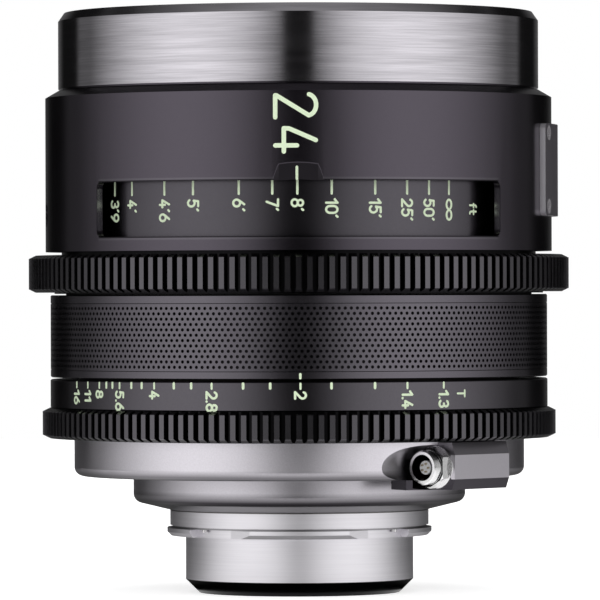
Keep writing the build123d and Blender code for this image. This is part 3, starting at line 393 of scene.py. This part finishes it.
def coated_glass(name, tint, coat, film):
    """Lens glass with the faint colour of its coating."""
    finish = Finish(name)
    haze = finish.noise(60.0, 1.0)
    return finish.done(
        base_color=finish.blend(haze, tint, shade(tint, 0.97)), roughness=0.0, ior=1.6,
        transmission_weight=1.0, coat_weight=coat, coat_roughness=0.02,
        thin_film_thickness=film, thin_film_ior=1.38)


def circuit_finish(name):
    """Green board with tracks."""
    finish = Finish(name)
    tracks = finish.node("ShaderNodeTexBrick", inputs={"Vector": finish.place, "Scale": 260.0,
                                                       "Mortar Size": 0.03}, output="Fac")
    green = finish.blend(tracks, (0.01, 0.09, 0.035, 1), (0.02, 0.16, 0.06, 1))
    return finish.done(base_color=green, roughness=0.35, coat_weight=0.6,
                       normal=finish.bumped(tracks, 3.0e-5))


finishes = {
    "silver_metal": brushed_metal("brushed_silver", (0.68, 0.655, 0.7), 0.15, 70.0, 3200.0,
                                  2.5e-6, 0.2, 0.6),
    "barrel_metal": barrel_metal("dark_anodised_barrel"),
    "plate_metal": plate_metal("dark_anodised_plate"),
    "black_screw": soft_coat("badge_screw_heads", (0.27, 0.26, 0.275), 0.3),
    "drum_metal": blasted_metal("dark_anodised_drum", (0.102, 0.095, 0.108), 0.22, 2600.0, 1.0e-6),
    "gear_metal": dark_metal("dark_anodised_gear", (0.13, 0.124, 0.137), below_teeth),
    "ring_metal": blasted_metal("dark_anodised_iris_ring", (0.118, 0.11, 0.124), 0.22, 2600.0,
                                1.0e-6),
    "sleeve_metal": dark_metal("dark_anodised_sleeve", (0.148, 0.137, 0.157),
                               SLEEVE_RADIUS - 0.08 * MM),
    "grey_metal": grey_metal("blasted_grey"),
    "block_metal": block_metal("blasted_grey_block"),
    "mount_steel": mount_metal("satin_mount_steel"),
    "screw_steel": brushed_metal("screw_steel", (0.72, 0.71, 0.72), 0.22, 60.0, 6000.0, 1.0e-6),
    # The shim is steel; its dark tone is painted shade at the joint between base and flange.
    "brass_shim": brushed_metal("shim_steel_painted_shade", (0.2, 0.195, 0.19), 0.3, 40.0, 3000.0, 1.0e-6),
    "brass_tube": tube_metal("tube_brass"),
    "roller_brass": brushed_metal("roller_brass", (0.83, 0.62, 0.3), 0.22, 60.0, 5000.0, 1.0e-6),
    "connector_metal": connector_metal("plated_connector"),
    "insulator": soft_coat("contact_insulator", (0.55, 0.55, 0.56), 0.45),
    "gold_contact": blasted_metal("contact_plating", (0.5, 0.43, 0.3), 0.25),
    "board": circuit_finish("circuit_board_green"),
    "slip_plastic": soft_coat("slip_ring_plastic", (0.012, 0.012, 0.013), 0.5),
    "cell_metal": blasted_metal("black_anodised_cell", (0.05, 0.05, 0.055), 0.36),
    "black_inside": soft_coat("matt_black_inside", (0.012, 0.012, 0.013), 0.6),
    "blade_steel": brushed_metal("blade_steel", (0.07, 0.07, 0.075), 0.4, 30.0, 2500.0, 1.0e-6),
    "front_glass": coated_glass("front_glass_coated", (0.97, 0.98, 0.985, 1), 0.35, 420.0),
    "optical_glass": coated_glass("inner_glass_coated", (0.98, 0.985, 0.98, 1), 0.1, 300.0),
}
scale_paint = soft_coat("scale_paint_pale_green", (0.68, 0.8, 0.57), 0.42, 3000.0, 1.0e-6, 0.04)

for part in frame["record"]["subparts"]:
    node = frame["nodes"][part["node"]]
    node.data.materials.clear()
    node.data.materials.append(finishes[part["material_slot"]])


# Meshes

def piece_from(mesh, name, material, sharp_angle=32.0):
    """A finished piece from a bmesh, smooth but for its sharp edges."""
    bmesh.ops.recalc_face_normals(mesh, faces=mesh.faces)
    for face in mesh.faces:
        face.smooth = True
    for edge in mesh.edges:
        edge.smooth = len(edge.link_faces) == 2 and degrees(edge.calc_face_angle(pi)) < sharp_angle
    data = bpy.data.meshes.new(name)
    mesh.to_mesh(data)
    mesh.free()
    data.materials.append(material)
    piece = bpy.data.objects.new(name, data)
    bpy.context.scene.collection.objects.link(piece)
    return piece


def round_point(radius, angle, height):
    """A point at an angle from the front, turning towards +X."""
    return Vector((radius * sin(angle), -radius * cos(angle), height))


# Perforated grip sleeve, whose tree sets a cell round the axis in staggered rows

HOLES_IN_ROW = 261
HOLE_ROWS = 12
ROW_PITCH = 1.2245 * MM
LOWEST_ROW = 40.44 * MM
HOLE_RADIUS = 0.4 * MM
HOLE_DEPTH = 0.6 * MM
HALF_CELL = pi / HOLES_IN_ROW
SEAM = 0.01 * MM


def perforation_cell():
    """One curved tile of the sleeve with a blind hole in it, at the front."""
    mesh = bmesh.new()

    def ring(points, radius):
        return [mesh.verts.new(round_point(radius, angle, height)) for angle, height in points]

    half = ROW_PITCH / 2
    rim = ring([(0, half), (HALF_CELL, half), (HALF_CELL, -half), (0, -half),
                (-HALF_CELL, -half), (-HALF_CELL, half)], SLEEVE_RADIUS)
    circle = [(HOLE_RADIUS * sin(k * pi / 4) / SLEEVE_RADIUS, HOLE_RADIUS * cos(k * pi / 4))
              for k in range(8)]
    mouth = ring(circle, SLEEVE_RADIUS)
    floor_ring = ring(circle, SLEEVE_RADIUS - HOLE_DEPTH)
    for corners in ((rim[0], mouth[0], mouth[1], rim[1]),
                    (rim[1], mouth[1], mouth[2], mouth[3], rim[2]),
                    (rim[2], mouth[3], mouth[4], rim[3]),
                    (rim[3], mouth[4], mouth[5], rim[4]),
                    (rim[4], mouth[5], mouth[6], mouth[7], rim[5]),
                    (rim[5], mouth[7], mouth[0], rim[0])):
        mesh.faces.new(corners)
    for k in range(8):
        following = (k + 1) % 8
        mesh.faces.new((mouth[k], floor_ring[k], floor_ring[following], mouth[following]))
    mesh.faces.new(floor_ring)
    return piece_from(mesh, "perforation_cell", finishes["sleeve_metal"])


def perforation_tree():
    """Sets a cell round the axis, row over row, each row half a cell on from the last."""
    group = bpy.data.node_groups.new("perforated_band", "GeometryNodeTree")
    sockets = {}
    for name, kind in (("Cell", "NodeSocketObject"), ("Holes In Row", "NodeSocketInt"),
                       ("Rows", "NodeSocketInt"), ("Row Pitch", "NodeSocketFloat"),
                       ("Lowest Row", "NodeSocketFloat"), ("Finish", "NodeSocketMaterial")):
        sockets[name] = group.interface.new_socket(name, in_out="INPUT", socket_type=kind)
    group.interface.new_socket("Geometry", in_out="OUTPUT", socket_type="NodeSocketGeometry")
    tree = Tree(group)
    given = group.nodes.new("NodeGroupInput")
    value = {name: Value(tree, given.outputs[name]) for name in sockets}
    index = tree.node("GeometryNodeInputIndex")
    row = tree.maths("FLOOR", (index + 0.5) / value["Holes In Row"])
    column = index - row * value["Holes In Row"]
    angle = (column + (row % 2) * 0.5) * (2 * pi / value["Holes In Row"])
    points = tree.node("GeometryNodeMeshLine", {"mode": "OFFSET"},
                       {"Count": value["Holes In Row"] * value["Rows"], "Offset": (0, 0, 0)})
    height = value["Lowest Row"] + row * value["Row Pitch"]
    placed = tree.node("GeometryNodeSetPosition", inputs={
        "Geometry": points,
        "Position": tree.node("ShaderNodeCombineXYZ", inputs={2: height})})
    cells = tree.node("GeometryNodeInstanceOnPoints", inputs={
        "Points": placed,
        "Instance": tree.node("GeometryNodeObjectInfo", inputs={"Object": value["Cell"]},
                              output="Geometry"),
        "Rotation": tree.node("ShaderNodeCombineXYZ", inputs={2: angle})})
    whole = tree.node("GeometryNodeRealizeInstances", inputs={"Geometry": cells})
    finished = tree.node("GeometryNodeSetMaterial",
                         inputs={"Geometry": whole, "Material": value["Finish"]})
    tree.node("NodeGroupOutput", inputs={"Geometry": finished})
    return group, {name: socket.identifier for name, socket in sockets.items()}


def mesh_of_tree(group, identifiers, values):
    """What a tree makes, as a plain mesh."""
    holder = bpy.data.objects.new("holder", bpy.data.meshes.new("holder"))
    bpy.context.scene.collection.objects.link(holder)
    modifier = holder.modifiers.new("tree", "NODES")
    modifier.node_group = group
    for name, value in values.items():
        modifier[identifiers[name]] = value
    scene_graph = bpy.context.evaluated_depsgraph_get()
    made = bpy.data.meshes.new_from_object(holder.evaluated_get(scene_graph))
    holder.modifiers.remove(modifier)
    bpy.data.objects.remove(holder)
    return made


def add_lathe(mesh, profile, steps):
    """Adds an open shell, turned from a profile of (radius, height) in millimetres."""
    rings = [[mesh.verts.new(round_point(radius * MM, 2 * pi * step / steps, height * MM))
              for step in range(steps)] for radius, height in profile]
    for lower, upper in zip(rings, rings[1:]):
        for step in range(steps):
            following = (step + 1) % steps
            mesh.faces.new((lower[step], upper[step], upper[following], lower[following]))


def grip_sleeve():
    """The perforated band with its plain rims, grooves and inside, in place of the CAD's sleeve."""
    cell = perforation_cell()
    group, identifiers = perforation_tree()
    band = mesh_of_tree(group, identifiers, {
        "Cell": cell, "Holes In Row": HOLES_IN_ROW, "Rows": HOLE_ROWS, "Row Pitch": ROW_PITCH,
        "Lowest Row": LOWEST_ROW, "Finish": finishes["sleeve_metal"]})
    bpy.data.objects.remove(cell)
    radius = SLEEVE_RADIUS / MM
    low = (LOWEST_ROW - ROW_PITCH / 2) / MM
    high = low + HOLE_ROWS * ROW_PITCH / MM
    groove, bevel, bore, inside, flange = 0.16, 0.25, 52.05, 56.45, 2.0
    bottom, top = 37.6, 57.0
    low_groove, high_groove = 39.41, 55.02
    profile = [(radius, high), (radius, high_groove - groove / 2),
               (radius - groove, high_groove - groove / 3),
               (radius - groove, high_groove + groove / 3), (radius, high_groove + groove / 2),
               (radius, top - bevel), (radius - bevel, top), (bore, top), (bore, top - flange),
               (inside, top - flange), (inside, bottom + flange), (bore, bottom + flange),
               (bore, bottom), (radius - bevel, bottom), (radius, bottom + bevel),
               (radius, low_groove - groove / 2), (radius - groove, low_groove - groove / 3),
               (radius - groove, low_groove + groove / 3), (radius, low_groove + groove / 2),
               (radius, low)]
    mesh = bmesh.new()
    mesh.from_mesh(band)
    add_lathe(mesh, profile, 2 * HOLES_IN_ROW)
    bmesh.ops.remove_doubles(mesh, verts=mesh.verts, dist=SEAM)
    sleeve = piece_from(mesh, "perforated_grip_sleeve", finishes["sleeve_metal"])
    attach(sleeve, "lens_barrel")
    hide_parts("grip_sleeve")


# Painted marks, each stroke a path on the unrolled metal with round ends

PAINT_LIFT = 0.035 * MM
PAINT_LAYER = 0.0015 * MM
PAINT_LAYERS = 7
PAINT_ROOT = 0.12 * MM
LONGEST_STEP = 0.7 * MM
SHARP_TURN = radians(50)
END_TURNS = (radians(32), radians(62), radians(90))
SAME_PLACE = 1e-7
LETTER_GAP_SHARE = 1.22
INFINITY_HEIGHT_SHARE = 0.56


def arc(across, up, width, height, start, end):
    """Points of part of an ellipse, in degrees from the reading direction."""
    count = max(2, ceil(abs(end - start) / 18))
    return [(across + width * cos(radians(start + (end - start) * k / count)),
             up + height * sin(radians(start + (end - start) * k / count)))
            for k in range(count + 1)]


# Centre lines of the digits, one high, with how far each moves the next one on
digits = {
    "0": (0.6, [arc(0.3, 0.64, 0.3, 0.36, 0, 180) + arc(0.3, 0.36, 0.3, 0.36, 180, 360)
                + [(0.6, 0.64)]]),
    "1": (0.34, [[(0.0, 0.76), (0.3, 1.0)], [(0.3, 1.0), (0.3, 0.0)]]),
    "2": (0.6, [arc(0.3, 0.7, 0.29, 0.3, 160, -38) + [(0.0, 0.0)], [(0.0, 0.0), (0.6, 0.0)]]),
    "3": (0.58, [arc(0.28, 0.75, 0.26, 0.25, 150, -90), arc(0.28, 0.26, 0.3, 0.26, 90, -150)]),
    "4": (0.62, [[(0.36, 1.0), (0.0, 0.27)], [(0.0, 0.27), (0.62, 0.27)],
                 [(0.4, 0.56), (0.4, 0.0)]]),
    "5": (0.58, [[(0.54, 1.0), (0.12, 1.0)], [(0.12, 1.0), (0.06, 0.56)],
                 [(0.06, 0.56)] + arc(0.27, 0.33, 0.3, 0.33, 115, -145)]),
    "6": (0.6, [[(0.42, 1.0), (0.12, 0.6), (0.02, 0.4)], arc(0.3, 0.31, 0.3, 0.31, 0, 360)]),
    "7": (0.58, [[(0.0, 1.0), (0.58, 1.0)], [(0.58, 1.0), (0.2, 0.0)]]),
    "8": (0.6, [arc(0.3, 0.76, 0.25, 0.24, 0, 360), arc(0.3, 0.27, 0.3, 0.27, 0, 360)]),
    "9": (0.6, [[(0.18, 0.0), (0.48, 0.4), (0.58, 0.6)], arc(0.3, 0.69, 0.3, 0.31, 0, 360)]),
    ".": (0.02, [[(0.0, 0.0), (0.02, 0.0)]]),
    "'": (0.12, [[(0.0, 0.9), (0.09, 1.0)]]),
    "T": (0.66, [[(0.0, 1.0), (0.66, 1.0)], [(0.33, 1.0), (0.33, 0.0)]]),
    "f": (0.4, [[(0.14, 0.0), (0.14, 0.8)] + arc(0.34, 0.8, 0.2, 0.2, 180, 95),
                [(0.0, 0.58), (0.38, 0.58)]]),
    "t": (0.42, [[(0.14, 0.95), (0.14, 0.2)] + arc(0.34, 0.2, 0.2, 0.2, 180, 275),
                 [(0.0, 0.58), (0.4, 0.58)]]),
    "~": (1.75, [arc(0.42, 0.28, 0.42, 0.28, 36, 324) + [(0.88, 0.28)]
                 + arc(1.34, 0.28, 0.42, 0.28, -144, 144) + [(0.88, 0.28)]]),
}


def smooth_runs(path):
    """The path in runs that turn gently, so that a sharp corner gets two round ends."""
    runs, run = [], [Vector(path[0])]
    for here, following in zip(path[1:], path[2:] + [None]):
        run.append(Vector(here))
        if following is not None:
            before = run[-1] - run[-2]
            after = Vector(following) - run[-1]
            if before.length > 0 and after.length > 0 and before.angle(after) > SHARP_TURN:
                runs.append(run)
                run = [Vector(here)]
    return runs + [run]


def add_stroke(mesh, path, width, place, lift):
    """Adds a closed ribbon of paint along one run; place puts a flat point on the metal."""
    points = [path[0]]
    for here in path[1:]:
        gap = here - points[-1]
        count = max(1, ceil(gap.length / LONGEST_STEP))
        start = points[-1]
        points += [start + gap * (k / count) for k in range(1, count + 1)]
    closed = (points[0] - points[-1]).length < SAME_PLACE
    if closed:
        points.pop()
    stations = []
    for k, here in enumerate(points):
        before = here - points[k - 1] if closed or k else points[1] - here
        after = points[(k + 1) % len(points)] - here if closed or k < len(points) - 1 else before
        way = (before.normalized() + after.normalized()).normalized()
        stations.append((here, way, width / 2))
    if not closed:
        for end, sign in ((stations[0], -1), (stations[-1], 1)):
            cap = [(end[0] + end[1] * (sign * width / 2 * sin(turn)), end[1], width / 2 * cos(turn))
                   for turn in END_TURNS]
            stations = cap[::-1] + stations if sign < 0 else stations + cap
    rows = []
    for centre, way, half in stations:
        side = Vector((-way.y, way.x)) * half
        rows.append([mesh.verts.new(place(centre + offset, height)) for offset, height in
                     ((side, lift), (-side, lift), (-side, -PAINT_ROOT), (side, -PAINT_ROOT))])
    links = list(zip(rows, rows[1:])) + ([(rows[-1], rows[0])] if closed else [])
    for first, second in links:
        for k in range(4):
            following = (k + 1) % 4
            mesh.faces.new((first[k], first[following], second[following], second[k]))


class Marks:
    """Painted strokes of one piece, each a hair higher than the last so that none share a face."""

    def __init__(self):
        self.mesh = bmesh.new()
        self.count = 0

    def stroke(self, path, width, place):
        for run in smooth_runs(path):
            self.count += 1
            lift = PAINT_LIFT + (self.count % PAINT_LAYERS) * PAINT_LAYER
            add_stroke(self.mesh, run, width, place, lift)

    def words(self, text, height, width, start, middle, place):
        """Figures that read downwards, their tops towards +X, from a height, about a middle."""
        size = height - width
        down = start - width / 2
        for letter in text:
            onward, strokes = digits[letter]
            tall = 1.0 if letter != "~" else INFINITY_HEIGHT_SHARE
            for points in strokes:
                self.stroke([(middle + (up - tall / 2) * size, down - across * size)
                             for across, up in points], width, place)
            down -= onward * size + width * LETTER_GAP_SHARE

    def piece(self, name, body):
        bmesh.ops.remove_doubles(self.mesh, verts=self.mesh.verts, dist=SAME_PLACE)
        piece = piece_from(self.mesh, name, scale_paint, 40.0)
        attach(piece, body)


def on_cylinder(radius):
    """Puts flat points, along the arc and up, on a cylinder about the optical axis."""
    return lambda point, lift: round_point(radius + lift, point.x / radius, point.y)


def focus_scale():
    """Distance marks in feet, spaced as the helicoid moves, and the word for the unit."""
    line_top, line_foot, line_width = 83.3 * MM, 80.1 * MM, 0.54 * MM
    figure_start, figure_height, figure_width = 79.05 * MM, 3.15 * MM, 0.53 * MM
    unit_start, unit_height, unit_width, unit_angle = 78.1 * MM, 2.7 * MM, 0.46 * MM, 47.0
    far_angle, spread, near = 38.91, 296.56, 0.43
    place = on_cylinder(DRUM_RADIUS)
    marks = Marks()
    distances = [("~", None), ("50'", 50), ("25'", 25), ("15'", 15), ("10'", 10), ("8'", 8),
                 ("7'", 7), ("6'", 6), ("5'", 5), ("4'6", 4.5), ("4'", 4), ("3'9", 3.75),
                 ("3'6", 3.5), ("3'3", 3.25), ("3'", 3), ("2'9", 2.75), ("2'6", 2.5),
                 ("2'3", 2.25), ("2'", 2), ("1'9", 1.75), ("1'6", 1.5), ("1'5", 1.424)]
    for text, distance in distances:
        angle = far_angle - (spread / (distance - near) if distance else 0)
        across = radians(angle) * DRUM_RADIUS
        marks.stroke([(across, line_top), (across, line_foot)], line_width, place)
        marks.words(text, figure_height, figure_width, figure_start, across, place)
    marks.words("ft", unit_height, unit_width, unit_start, radians(unit_angle) * DRUM_RADIUS, place)
    marks.piece("focus_scale_marks", "focus_assembly")


def iris_scale():
    """Stops of the iris ring, with two thirds between the wide ones."""
    line_top = 36.7 * MM
    stop_foot, stop_width, third_foot, third_width = 35.55 * MM, 0.5 * MM, 35.65 * MM, 0.62 * MM
    figure_start, figure_height, figure_width = 35.05 * MM, 3.0 * MM, 0.54 * MM
    unit_start, unit_height, unit_width, unit_angle = 35.1 * MM, 2.6 * MM, 0.46 * MM, 39.2
    place = on_cylinder(IRIS_RING_RADIUS)
    marks = Marks()
    stops = [("1.3", 34.26), ("1.4", 24.85), ("", 17.1), ("", 7.21), ("2", 0.32), ("", -6.4),
             ("", -12.49), ("2.8", -19.79), ("", -24.72), ("", -29.1), ("4", -34.31),
             ("", -37.82), ("", -40.87), ("5.6", -44.56), ("", -46.91), ("", -49.03),
             ("8", -51.6), ("11", -56.21), ("16", -61.31)]
    for text, angle in stops:
        across = radians(angle) * IRIS_RING_RADIUS
        foot, width = (stop_foot, stop_width) if text else (third_foot, third_width)
        marks.stroke([(across, line_top), (across, foot)], width, place)
        marks.words(text, figure_height, figure_width, figure_start, across, place)
    across = radians(unit_angle) * IRIS_RING_RADIUS
    marks.words("T", unit_height, unit_width, unit_start, across, place)
    marks.piece("iris_scale_marks", "iris_assembly")


def fixed_marks():
    """Index lines and the focal length, on the parts that don't turn."""
    notch_low, notch_depth, brush = 82.1 * MM, 2.2 * MM, 1.02 * MM
    marks = Marks()
    barrel = on_cylinder(BARREL_RADIUS)
    sleeve = on_cylinder(SLEEVE_RADIUS)
    slope = notch_depth / (NOTCH_TOP - notch_low)
    steep = hypot(1.0, slope)

    def notch(point, lift):
        """Puts flat points on the sloping floor of the index notch."""
        depth = notch_depth - slope * (point.y - notch_low)
        return Vector((point.x, depth - BARREL_RADIUS - lift / steep,
                       point.y + lift * slope / steep))

    marks.stroke([(-0.34 * MM, 86.1 * MM), (-0.34 * MM, 83.4 * MM)], 0.6 * MM, notch)
    marks.stroke([(0.3 * MM, 38.85 * MM), (0.3 * MM, 37.95 * MM)], 0.58 * MM, sleeve)

    def figure(*points):
        """Points given in millimetres right of the axis and up."""
        return [(x * MM, z * MM) for x, z in points]

    two = arc(2.05, 100.24, 2.05, 2.44, 78, -80)
    for path in (figure(*two, (-5.0, 102.4)), figure((-5.25, 102.4), (-5.25, 97.4)),
                 figure((4.0, 92.2), (-2.1, 94.85), (-3.3, 94.9)),
                 figure((-3.3, 94.9), (-3.3, 89.6)), figure((-0.3, 91.0), (-5.25, 91.0))):
        marks.stroke(path, brush, barrel)
    marks.piece("fixed_marks", "lens_barrel")


grip_sleeve()
focus_scale()
iris_scale()
fixed_marks()


# Floor, studio and camera

FLOOR_HEIGHT = -13.6 * MM
STUDIO_RADIUS = 1500 * MM
STUDIO_HEIGHT = 1600 * MM
STUDIO_STEPS = 96
PHOTO_SIDE = 600


def stage_piece(mesh, name, material):
    piece = piece_from(mesh, name, material)
    return piece


def disc(radius, height):
    """A flat round sheet about the axis."""
    mesh = bmesh.new()
    mesh.faces.new([mesh.verts.new(round_point(radius, 2 * pi * step / STUDIO_STEPS, height))
                    for step in range(STUDIO_STEPS)])
    return mesh


def turned_sheet(*profile):
    """A sheet turned round the axis from points of (radius, height)."""
    mesh = bmesh.new()
    add_lathe(mesh, [(radius / MM, height / MM) for radius, height in profile], STUDIO_STEPS)
    return mesh


def white_rays(finish):
    """One for camera, glossy and transmission rays, which show the white background."""
    path = [finish.node("ShaderNodeLightPath", output=name)
            for name in ("Is Camera Ray", "Is Glossy Ray", "Is Transmission Ray")]
    return path[0].maths("MAXIMUM", path[1]).maths("MAXIMUM", path[2])


def floor_finish():
    finish = Finish("pale_floor")
    pale = finish.blend(finish.noise(3.0), (0.8, 0.8, 0.8, 1), (0.82, 0.82, 0.82, 1))
    glow = finish.remap(finish.reach(), 0.03, 0.5, 0.72, 1.0)
    surface = finish.node("ShaderNodeAddShader", inputs={
        0: finish.node("ShaderNodeBsdfDiffuse", inputs={"Color": pale}),
        1: finish.node("ShaderNodeEmission", inputs={"Strength": white_rays(finish) * glow})})
    finish.node("ShaderNodeOutputMaterial", inputs={"Surface": surface})
    return finish.material


def softbox_finish(name, on_table):
    """Two tall soft lights either side of the camera, and dark between and behind them.

    Turns are in degrees from the camera's side.
    """
    finish = Finish(name)
    back = 0 - finish.axis("Y")
    turn = finish.maths("ABSOLUTE", finish.axis("X").maths("ARCTAN2", back)) * (180 / pi)
    rise = finish.maths("SINE", finish.remap(turn, 0.0, 50.0, 0.0, pi / 2))
    fall = finish.maths("COSINE", finish.remap(turn, 52.0, 132.0, 0.0, pi / 2))
    reach, height = finish.reach(), finish.axis("Z")
    gap_edge = 9.0 if on_table else finish.remap(height, 0.11, 0.165, 27.0, 9.0)
    gap = finish.remap(turn, 5.0, gap_edge, how="SMOOTHSTEP")
    if on_table:
        bridged = finish.remap(reach, 0.1, 0.3, 0.9, 0.0)
        gap = gap * (1.0 - bridged) + bridged
        rise = rise * (1.0 - bridged) + bridged
    tall = finish.remap(height, 0.8, 1.3, 1.0, 0.15)
    edge = gap * finish.remap(turn, 127.0, 131.0, 0.1, 0.0)
    light = (finish.maths("MAXIMUM", rise * fall * fall * gap * 1.02, edge) * tall
             + finish.remap(turn, 152.0, 175.0, 0.006, 0.15))
    if on_table:
        pale = finish.remap(reach, 0.3, 0.45, 0.12, 0.0)
        light = (light * (1.0 - pale) + pale * 0.85) * finish.remap(reach, 0.026, 0.045)
    finish.node("ShaderNodeOutputMaterial",
                inputs={"Surface": finish.node("ShaderNodeEmission", inputs={"Strength": light})})
    return finish.material


def roof_finish():
    """A dim overhead light, which the bevels show."""
    finish = Finish("studio_roof_light")
    light = finish.remap(finish.reach(), 0.2, 1.4, 0.32, 0.06)
    finish.node("ShaderNodeOutputMaterial",
                inputs={"Surface": finish.node("ShaderNodeEmission", inputs={"Strength": light})})
    return finish.material


def studio():
    """A white floor, and a wall, a low card and a roof whose lights the metals mirror."""
    card_hole, card_middle, card_height = 24.6 * MM, 200 * MM, FLOOR_HEIGHT + 0.4 * MM
    stage_piece(disc(STUDIO_RADIUS - 10 * MM, FLOOR_HEIGHT), "floor", floor_finish())
    wall = stage_piece(
        turned_sheet((STUDIO_RADIUS, FLOOR_HEIGHT), (STUDIO_RADIUS, STUDIO_HEIGHT)),
        "studio_wall", softbox_finish("studio_softboxes", False))
    card = stage_piece(
        turned_sheet((card_hole, card_height), (card_middle, card_height),
                     (STUDIO_RADIUS, card_height)),
        "table_card", softbox_finish("studio_card", True))
    roof = stage_piece(disc(STUDIO_RADIUS, STUDIO_HEIGHT), "studio_roof", roof_finish())
    for part in (wall, card, roof):
        part.visible_camera = False
        part.visible_transmission = False
    for part in (card, roof):
        part.visible_diffuse = False
        part.visible_shadow = False
    world = bpy.data.worlds.new("white_studio")
    world.use_nodes = True
    tree = Tree(world.node_tree)
    tree.node("ShaderNodeOutputWorld", inputs={
        "Surface": tree.node("ShaderNodeBackground",
                             inputs={"Color": (1, 1, 1, 1), "Strength": 1.0})})
    bpy.context.scene.world = world
    lamp = bpy.data.lights.new("front_fill", "AREA")
    lamp.shape, lamp.size, lamp.energy = "SQUARE", 0.9, 8.0
    fill = bpy.data.objects.new("front_fill", lamp)
    fill.location = (0, -1.25, 0.32)
    fill.rotation_euler = (Vector((0, 0, 0.06)) - fill.location).to_track_quat("-Z", "Y").to_euler()
    fill.visible_glossy = False
    fill.visible_camera = False
    bpy.context.scene.collection.objects.link(fill)


def camera():
    """A long lens level with the middle of the object, its picture shifted as in the photo."""
    data = bpy.data.cameras.new("camera")
    data.sensor_width, data.lens = 36.0, 361.0
    data.shift_y = -8 / PHOTO_SIDE
    data.clip_start, data.clip_end = 0.1, 100.0
    eye = bpy.data.objects.new("camera", data)
    eye.matrix_world = (Matrix.Translation((0.285 * MM, -1430 * MM, 57.6 * MM))
                        @ Matrix.Rotation(pi / 2, 4, "X") @ Matrix.Rotation(radians(-0.17), 4, "Z"))
    bpy.context.scene.collection.objects.link(eye)
    bpy.context.scene.camera = eye


studio()
camera()
bpy.context.scene.view_settings.view_transform = "Standard"
